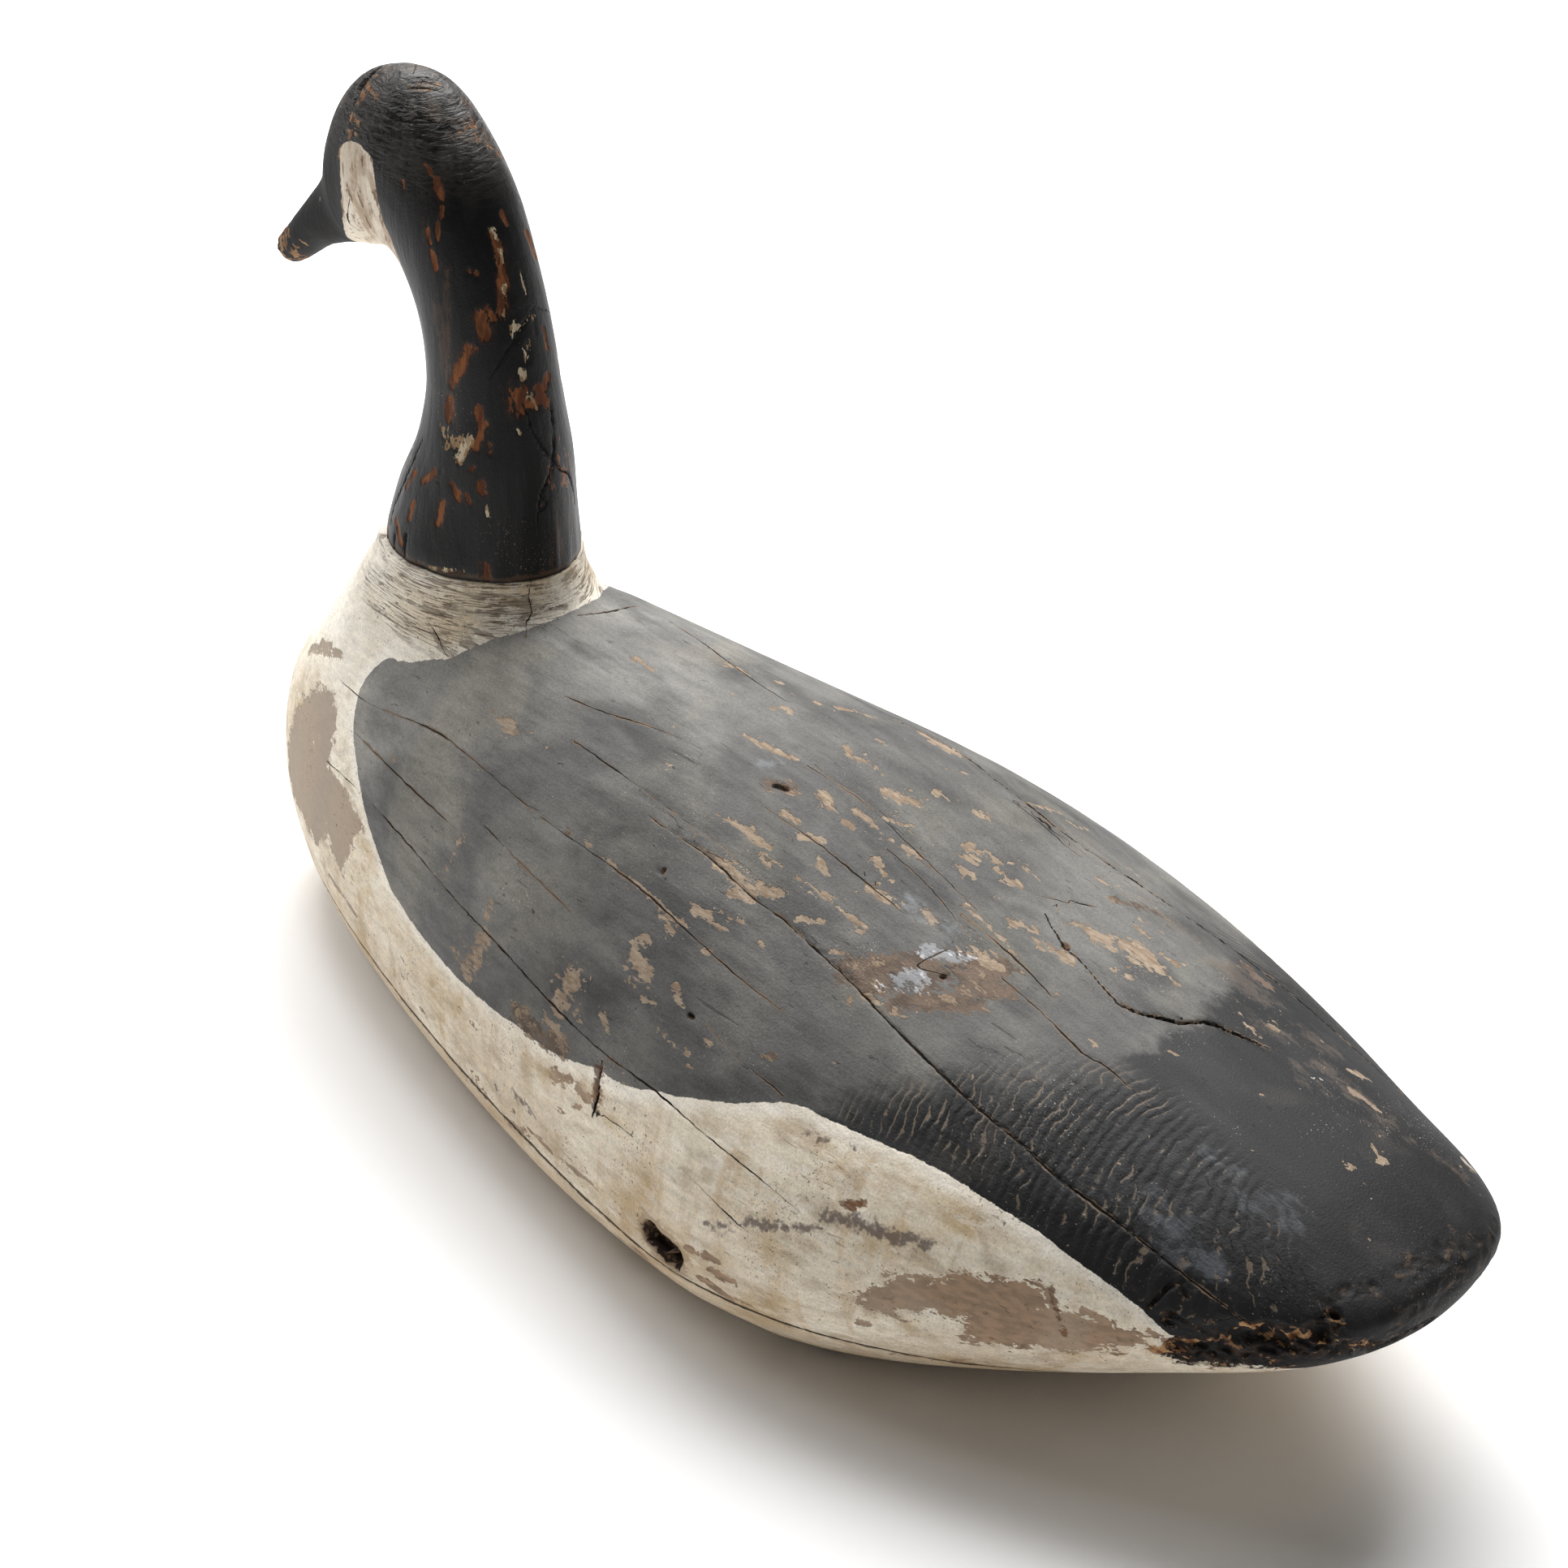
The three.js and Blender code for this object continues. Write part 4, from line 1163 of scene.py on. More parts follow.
        move_to(block, places - outward * depth[:, None])

    def worn_patches(self, skin: Skin, places: np.ndarray) -> np.ndarray:
        """Returns the worn places of the white paint, 1 well inside and -1 well outside."""
        far = places[:, 1] < -0.02
        spots = self.unroll(places) + far[:, None] * np.array([0.022, -0.019])
        total = np.full(len(places), -2.0)
        for outline in self.marks.worn_white:
            line = skin.pick(outline)
            shape = inside(spots, self.unroll(line.points)) / 0.005
            total = np.maximum(total, np.clip(shape - 0.7 * far, -2, 1))
        return total

    def dress(self, piece: bpy.types.Object, skin: Skin) -> None:
        """Stores on a piece what its finish reads."""
        places = places_of(piece)
        fields = checks_field(places, skin, (*self.marks.checks, self.marks.open_check, self.marks.slit))
        fields["white"] = self.zone(skin, places) / MM
        fields["tail"] = self.tail_zone(skin, places) / MM
        fields["flakes"] = np.maximum(
            streaks_field(places, skin, self.marks.flakes), self.worn_patches(skin, places)
        )
        close = ("bare", "brown", "silver", "scuff_and_sheen", "rubbed", "chalk", "smear", "rust", "scarp", "gouge")
        for name in (*close, "char", "rim"):
            reach = 3.0 if name in close else 2.5
            fields[name] = streaks_field(places, skin, getattr(self.marks, name), reach)
        fields["hole"] = streaks_field(places, skin, self.marks.knot + self.marks.pits)
        fields["rings"] = self.rings(places)
        fields["rippled"] = self.rippled(skin, places)
        fields["shelf"] = self.shelf(places)
        for name, values in fields.items():
            lay_field(piece, name, values)

    def build(self, nodes: dict[str, bpy.types.Object]) -> list[bpy.types.Object]:
        """Builds both boards from their solids and returns them."""
        block = self.fair_block(nodes["body_upper"], nodes["body_lower"])
        skin = Skin(block)
        self.carve(block, skin)
        board = bpy.data.objects.new("lower_board", block.data.copy())
        bpy.context.scene.collection.objects.link(board)
        block.name = "upper_block"
        saw(block, self.seam[1], True)
        saw(block, self.seat, False)
        saw(board, self.seam[0], False)
        for piece, node, count in zip((block, board), ("body_upper", "body_lower"), self.triangles):
            thin_out(piece, count)
            keep_in_box(piece, node)
            self.dress(piece, skin)
            LOG.info("%s: %d triangles", piece.name, len(piece.data.polygons))
        return [block, board]


@dataclass
class NeckAndHead:
    """The neck and head, carved from one piece.

    Args:
        foot: Height of the neck's flat foot.
        cell: Size of the first even mesh.
        spare: How much longer the wood is at the foot before it is sawn.
        bill_tip: The sphere inside which the form is left crisper.
        triangles: Triangles of the finished piece.
        marks: The marks.
        relief: Their depths.
    """

    foot: float = 0.1908
    cell: float = 0.0021
    spare: float = 0.007
    bill_tip: tuple[float, ...] = (0.303, 0.0, 0.285, 0.012)
    triangles: int = 130000
    marks: NeckMarks = field(default_factory=NeckMarks)
    relief: NeckRelief = field(default_factory=NeckRelief)

    def cheek(self, skin: Skin, places: np.ndarray) -> np.ndarray:
        """Returns the distance from the edge of the cheek patch, positive in it."""
        rear = skin.pick(smooth_path(self.marks.cheek, 0.0)).points[:, [0, 2]]
        front = skin.pick(self.marks.cheek_front).points[:, [0, 2]]
        chin = np.array([rear[-1] + [-4 * MM, -30 * MM], front[-1] + [2 * MM, -30 * MM]])
        outline = np.vstack([rear, chin, front[::-1]])
        return inside(places[:, [0, 2]], outline)

    def carve(self, piece: bpy.types.Object, skin: Skin) -> None:
        """Cuts the checks, the split crown and the worn edges."""
        deep = self.relief
        places, outward = places_of(piece), directions_of(piece)
        depth = cut_checks(places, skin, (*self.marks.checks, self.marks.split))
        bare = streaks_field(places, skin, self.marks.wood + self.marks.cream)
        depth += ease(bare + 0.4 * rough(places, 0.004, 51), -0.1, 0.3) * deep.wood * MM
        crown = ease(streaks_field(places, skin, self.marks.wear_and_highlight), -0.5, 0.5)
        depth += crown * deep.crown * MM * np.abs(noise(places, (0.012, 0.006, 0.0016), 52))
        foot = ease(places[:, 2], self.foot + 0.004, self.foot)
        depth += foot * deep.foot * MM * (0.45 + 0.7 * noise(places, (0.005, 0.005, 0.02), 53))
        bill = ease(places[:, 0], 0.288, 0.306)
        depth += bill * deep.bill * MM * (0.3 + np.abs(noise(places, 0.0035, 54)))
        depth += deep.uneven * MM * noise(places, (0.006, 0.006, 0.03), 55)
        move_to(piece, places - outward * depth[:, None])

    def dress(self, piece: bpy.types.Object, skin: Skin) -> None:
        """Stores on the piece what its finish reads."""
        places = places_of(piece)
        fields = checks_field(places, skin, (*self.marks.checks, self.marks.split))
        fields["cheek"] = self.cheek(skin, places) / MM
        for name in ("wood", "pale_wood", "cream", "wear_and_highlight"):
            fields[name] = streaks_field(places, skin, getattr(self.marks, name))
        for name, values in fields.items():
            lay_field(piece, name, values)

    def build(self, nodes: dict[str, bpy.types.Object]) -> bpy.types.Object:
        """Builds the piece from its solid and returns it."""
        piece = copy_node(nodes["neck_and_head"], "carved_neck")
        places = places_of(piece)
        places[places[:, 2] < self.foot + 0.2 * MM, 2] -= self.spare
        move_to(piece, places)
        fair(piece, self.cell, 9, 1, np.array([self.bill_tip]))
        skin = Skin(piece)
        self.carve(piece, skin)
        saw(piece, self.foot, True)
        thin_out(piece, self.triangles)
        keep_in_box(piece, "neck_and_head")
        self.dress(piece, skin)
        LOG.info("%s: %d triangles", piece.name, len(piece.data.polygons))
        return piece


def torn(field: Wire, tear: Wire) -> Wire:
    """Returns where paint is gone: ragged about the marked strokes, with loose bits beside them."""
    return (field + tear * 0.8).rise(-0.05, 0.1)


@dataclass(frozen=True)
class BodyPaint:
    """The body's old paint: cream flanks, a grey back and a blacker tail.

    Args:
        name: The material's name.
        board: Whether it is for the lower board, which is more bare than the block.
        gloss: Its specular level.
        relief: Height of its fine relief, in metres.
    """

    name: str
    board: bool = False
    gloss: float = 0.3
    relief: float = 0.00045
    back: Colour = tone(88, 87, 85)
    back_light: Colour = tone(112, 110, 106)
    back_deep: Colour = tone(60, 60, 59)
    dust: Colour = tone(128, 123, 112)
    tail: Colour = tone(17, 17, 18)
    tail_light: Colour = tone(34, 34, 35)
    scuff_and_sheen: Colour = tone(84, 87, 92)
    cream: Colour = tone(236, 224, 203)
    stain: Colour = tone(200, 176, 138)
    grime: Colour = tone(150, 124, 90)
    # Cleaner cream; on the upper breast it is partly painted light.
    clean: Colour = tone(248, 242, 230)
    wood: Colour = tone(156, 138, 118)
    old_wood: Colour = tone(172, 144, 118)
    brown: Colour = tone(108, 89, 74)
    # Near black laid in the checks' openings: painted shade inside the cracks.
    dark: Colour = tone(22, 17, 13)
    torn_wood: Colour = tone(190, 146, 100)
    collar_grime: Colour = tone(104, 82, 60)
    collar_wood: Colour = tone(112, 96, 80)
    wood_deep: Colour = tone(132, 112, 92)
    wood_pale: Colour = tone(178, 161, 141)
    old_wood_deep: Colour = tone(150, 127, 105)
    old_wood_soil: Colour = tone(104, 86, 70)
    breast_wood: Colour = tone(176, 164, 150)
    old_wood_pale: Colour = tone(182, 164, 144)
    brown_deep: Colour = tone(84, 68, 55)
    brown_pale: Colour = tone(140, 120, 98)
    brown_pit: Colour = tone(46, 36, 28)
    smear: Colour = tone(94, 80, 78)
    pale_scuff_and_sheen: Colour = tone(130, 133, 136)
    rubbed: Colour = tone(108, 94, 82)
    chalk: Colour = tone(186, 181, 172)
    silver_deep: Colour = tone(122, 124, 127)
    silver: Colour = tone(196, 197, 201)
    # Tan laid along the ripple crests: painted highlight on the ridges.
    crest_highlight: Colour = tone(112, 98, 82)
    salt: Colour = tone(176, 171, 163)
    soil: Colour = tone(100, 80, 60)
    pit: Colour = tone(24, 22, 21)
    hair: Colour = tone(42, 36, 30)
    hair_pale: Colour = tone(118, 92, 66)
    lip: Colour = tone(122, 102, 82)
    rust: Colour = tone(122, 84, 54)
    rust_deep: Colour = tone(86, 58, 40)
    glue: Colour = tone(62, 47, 35)
    rim_deep: Colour = tone(26, 23, 21)
    rim: Colour = tone(92, 74, 58)
    coal: Colour = tone(18, 15, 14)
    coal_pale: Colour = tone(56, 42, 32)
    splinter: Colour = tone(138, 103, 70)
    torn_wood_deep: Colour = tone(112, 74, 44)
    gouge: Colour = tone(28, 25, 23)
    gouge_pale: Colour = tone(116, 92, 66)
    hole_lip: Colour = tone(150, 122, 92)
    hole: Colour = tone(46, 33, 24)
    hole_pale: Colour = tone(112, 86, 62)
    tail_dust: Colour = tone(62, 58, 54)
    wash: Colour = tone(192, 160, 116)
    low_stain: Colour = tone(178, 150, 114)
    board_cream: Colour = tone(205, 180, 146)

    def make(self) -> bpy.types.Material:
        """Returns the material."""
        mix = Recipe(self.name)
        slow = mix.stretched((0.4, 1.0, 1.0))
        forward = mix.node("ShaderNodeSeparateXYZ", {}, {"Vector": mix.place}, "X")
        up = mix.node("ShaderNodeSeparateXYZ", {}, {"Vector": mix.place}, "Z")
        mottle = mix.noise(45, 4, slow)
        grain = mix.noise(460, 3, mix.stretched((0.08, 1.0, 1.0)))
        speckle = mix.noise(1100, 2)
        stray = mix.shaken(slow, 350, 0.0022)
        tear = mix.chips(420, stray) * 0.4 + mix.chips(1200, stray) * 0.36
        tear = tear + mix.noise(240, 4, slow, 0.4) * 0.55
        white = (mix.field("white") + mix.noise(160, 4) * 0.4 + speckle * 0.1).rise(-0.15, 0.2)
        tail = (mix.field("tail") + mix.noise(60, 5, slow, 0.5) * 3.0 + tear * 2.4).rise(-3.6, 3.2)
        faded = (mix.field("tail") + mix.noise(60, 5, slow, 0.5) * 5.0 + tear * 3.0).rise(-11.0, 17.0)
        weathered = mix.field("rippled").rise(-0.1, 0.5)
        tail = faded * weathered + tail * (1 - weathered)
        dark = 1 - white

        back = self.dark_side(mix, mottle, tail, forward)
        mix.paint = mix.mix(white, back, self.pale_side(mix, mottle, forward, up))
        brushed = mix.noise(150, 5, mix.stretched((0.3, 1.0, 1.0)), 0.4)
        rough_paint = speckle * (0.12 + dark * 0.02) + (tear * 0.05 + brushed * 0.11) * dark + tear * 0.05
        mix.paint = mix.shade(mix.paint, 1 + grain * (0.08 - dark * 0.03) + rough_paint)

        shelf = mix.field("shelf") * white
        level = mix.stretched((1.0, 1.0, 26.0))
        rear = forward.rise(0.205, 0.165)
        comb = abs(mix.noise(34, 3, level, 0.3)).rise(0.17, 0.04)
        valleys = comb * (mix.noise(40, 3) + rear * 0.6).rise(-0.6, 0.6) * shelf
        mix.lay(valleys * 0.9, self.collar_grime)
        missing = mix.noise(90, 5, mix.stretched((1.0, 1.0, 5.0)), 0.4) + rear * 0.5
        missing = missing.rise(0.75, 1.05) * shelf
        mix.lay(missing * 0.6, self.collar_wood)

        wood = mix.mix(grain.rise(-0.8, 0.9), self.wood, self.wood_deep)
        wood = mix.mix(mix.chips(900, stray).rise(0.2, 0.8) * 0.5, wood, self.wood_pale)
        old_wood = mix.mix(grain.rise(-0.7, 0.8), self.old_wood, self.old_wood_deep)
        old_wood = mix.mix(tear.rise(0.4, 0.9) * 0.5, old_wood, self.old_wood_soil)
        old_wood = mix.mix(forward.rise(0.1, 0.22) * 0.75, old_wood, self.breast_wood)
        old_wood = mix.mix(mix.noise(28, 3).rise(-0.2, 0.6) * 0.5, old_wood, self.old_wood_pale)

        brown = torn(mix.field("brown"), tear)
        brown_tone = mix.mix(mix.noise(150, 4).rise(-0.7, 0.7), self.brown, self.brown_deep)
        brown_tone = mix.mix(tear.rise(0.5, 0.6), brown_tone, self.brown_pale)
        brown_tone = mix.mix((0 - tear).rise(0.6, 0.8) * 0.8, brown_tone, self.brown_pit)
        mix.lay(brown * 0.9, brown_tone)

        loose = tear + mix.noise(55, 4, slow, 0.5) * 0.75 + mix.noise(9, 2) * 0.5 - tail * 0.7
        loose = loose.rise(1.42, 1.52)
        crumbs = mix.chips(620, stray) * 0.8 + mix.noise(220, 3) * 0.35
        crumbs = (mix.field("bare") * 0.35 + crumbs).rise(0.4, 0.48)
        bare = torn(mix.field("bare"), tear).over(loose).over(crumbs) * dark
        mix.lay(bare * 0.92, wood)
        chipped = mix.noise(70, 5, slow, 0.5) + mix.noise(8, 2) * 0.5 + tear * 0.5
        chipped = chipped + up.rise(0.07, 0.035) * 0.5
        flakes = (mix.field("flakes") + tear * 0.8).rise(-0.1, 0.0).over(chipped.rise(1.75, 1.85)) * white
        mix.lay(flakes, old_wood)
        smear = (mix.field("smear") * 0.7 + mix.noise(420, 3) * 0.7).rise(-0.5, 0.5) * white
        mix.lay(smear * 0.8, self.smear)
        patchy = mix.noise(90, 5, slow, 0.6) * 0.6
        # Lighter bluish-grey patches: partly scuffed paint, partly painted sheen.
        scuff_and_sheen = (mix.field("scuff_and_sheen") * 0.6 + patchy + tear * 0.5).rise(-0.1, 1.3) * dark
        mix.lay(scuff_and_sheen * 0.8, mix.mix(tail, self.pale_scuff_and_sheen, self.scuff_and_sheen))
        rubbed = (mix.field("rubbed") * 0.5 + patchy + tear * 0.6).rise(0.0, 0.9) * dark
        mix.lay(rubbed * 0.4, self.rubbed)
        chalk = (mix.field("chalk") + tear * 0.4).rise(-0.1, 0.1)
        mix.lay(chalk * 0.8, self.chalk)
        silver = (mix.field("silver") + tear * 1.1).rise(0.0, 0.2)
        mix.lay(silver * 0.85, mix.mix(tear.rise(0.5, 0.8), self.silver_deep, self.silver))

        # Tan along the crests of the end-grain ripples: painted highlight on the ridges.
        rippled = mix.field("rippled")
        ring = (mix.field("rings") + mix.noise(160, 4) * 0.2).turns()
        crest_highlight = ring.rise(0.12, 0.18) * ring.rise(0.36, 0.27) * rippled.rise(0.1, 0.7) * dark
        broken = mix.noise(80, 4) + tear * 0.7 - mix.field("tail").rise(16.0, 36.0) * 0.7
        crest_highlight = crest_highlight * broken.rise(-0.5, 0.1)
        mix.lay(crest_highlight * 0.7, self.crest_highlight)

        salt = mix.specks(1500, 1.2).over(mix.specks(620, 1.45)) * dark
        mix.lay(salt * 0.6, self.salt)
        soil = mix.specks(700, 1.15).over(mix.specks(1500, 1.1)) * white
        mix.lay(soil * 0.7, self.soil)
        pits = mix.specks(420, 1.35) * dark
        mix.lay(pits * 0.6, self.pit)
        hair = mix.hairs(620, (0.03, 1.0, 1.0), 1.2) * 0.6
        mix.lay(hair * 0.75, mix.mix(white, self.hair, self.hair_pale))

        line = self.check_lines(mix, tear)
        mix.lay(line["lips"] * dark * 0.75, self.lip)
        rust = (mix.field("rust") + tear).rise(-0.5, 0.5)
        mix.lay(rust * 0.85, mix.mix(grain.rise(-0.5, 0.8), self.rust, self.rust_deep))
        seam = (abs(up - SEAM_HEIGHT) + mix.noise(260, 3) * 0.0004).rise(0.0013, 0.0004)
        mix.lay(seam * 0.9, self.glue)
        # Painted shade inside the checks.
        mix.lay(line["gap"], self.dark)

        rim = (mix.field("rim") * 0.7 + tear).rise(-0.3, 0.7) * dark
        fibre = mix.noise(300, 4, mix.stretched((0.6, 0.6, 1.5)))
        mix.lay(rim * 0.75, mix.mix(fibre.rise(0.1, 1.2), self.rim_deep, self.rim))
        char = (mix.field("char") + tear * 0.45).rise(-0.15, 0.15)
        coal = mix.mix(mix.noise(260, 4).rise(-0.3, 0.9), self.coal, self.coal_pale)
        mix.lay(char, mix.mix(tear.rise(0.65, 0.75), coal, self.splinter))
        scarp = (mix.field("scarp") * 0.7 + tear * 0.8).rise(0.3, 0.45)
        mix.lay(scarp, mix.mix(grain.rise(-0.5, 0.6), self.torn_wood, self.torn_wood_deep))
        gouge = (mix.field("gouge") + tear * 0.6).rise(0.0, 0.2)
        mix.lay(gouge, mix.mix(tear.rise(0.4, 0.6), self.gouge, self.gouge_pale))
        hole = (mix.field("hole") + mix.noise(260, 3) * 0.25).rise(0.0, 0.2)
        lip = (mix.field("hole") + tear * 0.5).rise(-0.5, -0.3) * white
        mix.lay(lip * 0.6, self.hole_lip)
        mix.lay(hole, mix.mix(tear.rise(0.0, 0.5), self.hole, self.hole_pale))

        lost = bare.over(flakes).over(line["gap"])
        roughness = 0.76 - tail * dark * 0.1 + lost * 0.14 - silver * 0.3
        mix.shader.inputs["Specular IOR Level"].default_value = self.gloss
        ripple = ring.rise(0.0, 0.25) * ring.rise(1.0, 0.25)
        height = grain * 0.06 + mottle * 0.07 + speckle * 0.07 - lost * 0.5 - ripple * rippled * dark * 0.6
        height = height - valleys * 0.6 - missing * 0.4 - line["gap"] * 1.2 - hair * 0.4
        height = height + tear * (brown * 0.4 + rim * 0.5 + char * 0.5)
        mix.finish(roughness, height, self.relief)
        return mix.material

    def dark_side(self, mix: Recipe, mottle: Wire, tail: Wire, forward: Wire) -> Wire:
        """Returns the colour of the grey back and the blacker tail.

        Args:
            mix: The material being made.
            mottle: Middle-sized noise.
            tail: How far the tail's black reaches.
            forward: The place along the body.
        """
        back = mix.mix(mix.noise(16, 6, None, 0.4).rise(-0.9, 1.1), self.back, self.back_light)
        back = mix.mix(mottle.rise(-0.1, 1.0) * 0.6, back, self.back_deep)
        dust_and_sheen = (mix.noise(26, 5, None, 0.6) + forward.rise(-0.06, 0.16) * 0.7).rise(0.2, 1.5)
        back = mix.mix(dust_and_sheen * 0.34, back, self.dust)
        # Lighter towards the front of the back: partly dustier paint, partly painted light where the neck's
        # shadow falls.
        back = mix.shade(back, 1 + forward.rise(0.0, 0.2) * 0.75)
        tail_tone = mix.mix(mottle.rise(-0.3, 1.0), self.tail, self.tail_light)
        tail_tone = mix.mix(mix.noise(34, 5, None, 0.5).rise(0.5, 1.5) * 0.4, tail_tone, self.tail_dust)
        streak = mix.noise(150, 4, mix.stretched((0.06, 1.0, 1.0)), 0.3)
        return mix.shade(mix.mix(tail, back, tail_tone), 1 + streak * 0.05)

    def pale_side(self, mix: Recipe, mottle: Wire, forward: Wire, up: Wire) -> Wire:
        """Returns the colour of the cream flanks, breast and underside.

        Args:
            mix: The material being made.
            mottle: Middle-sized noise.
            forward: The place along the body.
            up: The height.
        """
        slow = mix.stretched((0.45, 1.0, 1.0))
        blotch = (mix.noise(20, 5, None, 0.7) + mottle * 0.7).rise(-0.4, 1.3)
        cream = mix.mix(blotch * 0.9, self.cream, self.stain)
        cream = mix.mix(mix.noise(90, 5, slow, 0.5).rise(0.1, 1.2) * 0.42, cream, self.grime)
        wash = mix.noise(60, 4, mix.stretched((2.4, 1.0, 0.35)), 0.3)
        cream = mix.mix(wash.rise(0.1, 1.2) * 0.36, cream, self.wash)
        cream = mix.mix(mix.noise(230, 4, slow, 0.4).rise(0.1, 0.9) * 0.35, cream, self.clean)
        border = mix.field("white").rise(8.0, 1.5)
        cream = mix.mix(border * 0.6, cream, self.clean)
        # Whiter towards the upper breast: partly cleaner paint, partly painted light on the breast, which
        # faces the light.
        lit_breast = forward.rise(0.12, 0.24) * up.rise(0.08, 0.15)
        cream = mix.mix(lit_breast * 0.75, cream, self.clean)
        low = up.rise(0.09, 0.036) * (mix.noise(40, 5, slow, 0.5) + 0.5).rise(-0.3, 1.0)
        cream = mix.mix(low * 0.35, cream, self.low_stain)
        return mix.mix(0.4, cream, self.board_cream) if self.board else cream

    def check_lines(self, mix: Recipe, tear: Wire) -> dict[str, Wire]:
        """Args:
            mix: The material being made.
            tear: The ragged noise of torn paint.
        """
        across, apart, half = mix.field("check_across"), mix.field("check_apart"), mix.field("check_half")
        beside = apart.rise(3.4, 2.2)
        edge = abs(across + mix.noise(330, 3) * 0.07) - half
        # The gap is painted shade: near black over each check's opening and walls.
        gap = (edge + mix.noise(120, 3) * half * 0.5 + mix.noise(30, 2) * 0.2).rise(0.08, -0.06) * beside
        lips = (edge + tear * 0.5 + mix.noise(60, 3) * 0.4).rise(0.3, 0.1) * beside
        return {"gap": gap, "lips": lips}


@dataclass(frozen=True)
class NeckPaint:
    """The neck's black paint over brown wood, and the cream cheek.

    Args:
        name: The material's name.
        gloss: Its specular level.
        relief: Height of its fine relief, in metres.
    """

    name: str
    gloss: float = 0.22
    relief: float = 0.0004
    black: Colour = tone(14, 13, 13)
    worn_black: Colour = tone(30, 28, 27)
    # Brownish grey on the rubbed places: partly worn paint, partly painted highlight.
    rubbed: Colour = tone(112, 98, 84)
    cream: Colour = tone(216, 202, 182)
    clean: Colour = tone(238, 226, 208)
    wood: Colour = tone(140, 86, 50)
    wood_deep: Colour = tone(92, 52, 30)
    pale_wood: Colour = tone(160, 126, 94)
    # Grey laid over the crown: painted sheen on the top of the head.
    crown: Colour = tone(96, 91, 86)
    rubbed_wood: Colour = tone(84, 58, 38)
    wood_shade: Colour = tone(60, 36, 22)
    wood_edge: Colour = tone(48, 31, 20)
    loose_wood: Colour = tone(150, 128, 102)
    pale_wood_deep: Colour = tone(116, 76, 48)
    cream_deep: Colour = tone(150, 122, 90)
    cream_pale: Colour = tone(200, 184, 156)
    dirt: Colour = tone(158, 128, 96)
    cheek_chip: Colour = tone(112, 88, 66)
    cheek_edge: Colour = tone(120, 96, 74)
    speck: Colour = tone(142, 118, 92)
    # Near black laid in the checks and the split: painted shade inside them.
    gap: Colour = tone(9, 8, 7)
    foot_wood: Colour = tone(92, 68, 48)
    joint: Colour = tone(14, 11, 9)

    def make(self) -> bpy.types.Material:
        """Returns the material."""
        mix = Recipe(self.name)
        upright = mix.stretched((1.0, 1.0, 0.14))
        slow = mix.stretched((1.0, 1.0, 0.38))
        grain = mix.noise(380, 3, upright)
        mottle = mix.noise(50, 4, slow)
        speckle = mix.noise(1100, 2)
        stray = mix.shaken(slow, 350, 0.0022)
        tear = mix.chips(480, stray) * 0.4 + mix.chips(1250, stray) * 0.36
        tear = tear + mix.noise(260, 4, slow, 0.4) * 0.55
        up = mix.node("ShaderNodeSeparateXYZ", {}, {"Vector": mix.place}, "Z")

        mix.paint = mix.mix(mottle.rise(-0.4, 1.1) * 0.8, self.black, self.worn_black)
        mix.paint = mix.shade(mix.paint, 1 + grain * 0.14 + speckle * 0.16)
        crown = up.rise(0.332, 0.368)
        forward = mix.node("ShaderNodeSeparateXYZ", {}, {"Vector": mix.place}, "X")
        bill = forward.rise(0.232, 0.25)
        wrinkled = mix.noise(170, 5, mix.stretched((1.0, 0.6, 3.2)), 1.6)
        # Lighter grey over the crown: painted sheen in place of a glossier finish.
        dust_and_sheen = (wrinkled * 0.5 + mottle * 0.5 + 0.2).rise(-0.8, 1.4)
        mix.lay(crown * dust_and_sheen * 0.6, self.crown)
        # Brownish grey on the rubbed places: partly worn paint, partly painted highlight on the crown.
        wear_and_highlight = (mix.field("wear_and_highlight") * 0.7 + mottle * 0.4 + tear * 0.6).rise(-0.2, 1.2)
        mix.lay(wear_and_highlight * 0.5, self.rubbed)
        rubbed = (mix.noise(60, 5, upright, 0.3) + tear * 0.5).rise(1.0, 1.7) * 0.5
        mix.lay(rubbed, self.rubbed_wood)

        brown = mix.mix(grain.rise(-0.8, 0.8), self.wood, self.wood_deep)
        brown = mix.mix(mottle.rise(0.3, 1.2) * 0.6, brown, self.wood_shade)
        soft = mix.field("wood") + tear * 0.7 + grain * 0.35
        wood = soft.rise(-0.1, 0.25)
        mix.lay(soft.rise(-0.9, 0.0) * 0.6, self.wood_edge)
        mix.lay(wood * 0.95, brown)
        loose = (tear + mix.noise(40, 4, slow, 0.5) * 0.8 + mix.noise(11, 2) * 0.35).rise(1.6, 1.7)
        mix.lay(loose * 0.85, mix.mix(mottle.rise(0.0, 0.2), self.wood, self.loose_wood))
        pale = (mix.field("pale_wood") * 0.65 + tear * 0.9 + grain * 0.3).rise(0.15, 0.35)
        pale_tone = mix.mix(grain.rise(-0.6, 0.8), self.pale_wood, self.pale_wood_deep)
        mix.lay(pale * 0.95, pale_tone)
        cream = (mix.field("cream") * 0.8 + tear * 1.1).rise(0.15, 0.25)
        cream_tone = mix.mix(mix.chips(500, stray).rise(-0.4, 0.5), self.cream_deep, self.cream_pale)
        mix.lay(cream, cream_tone)

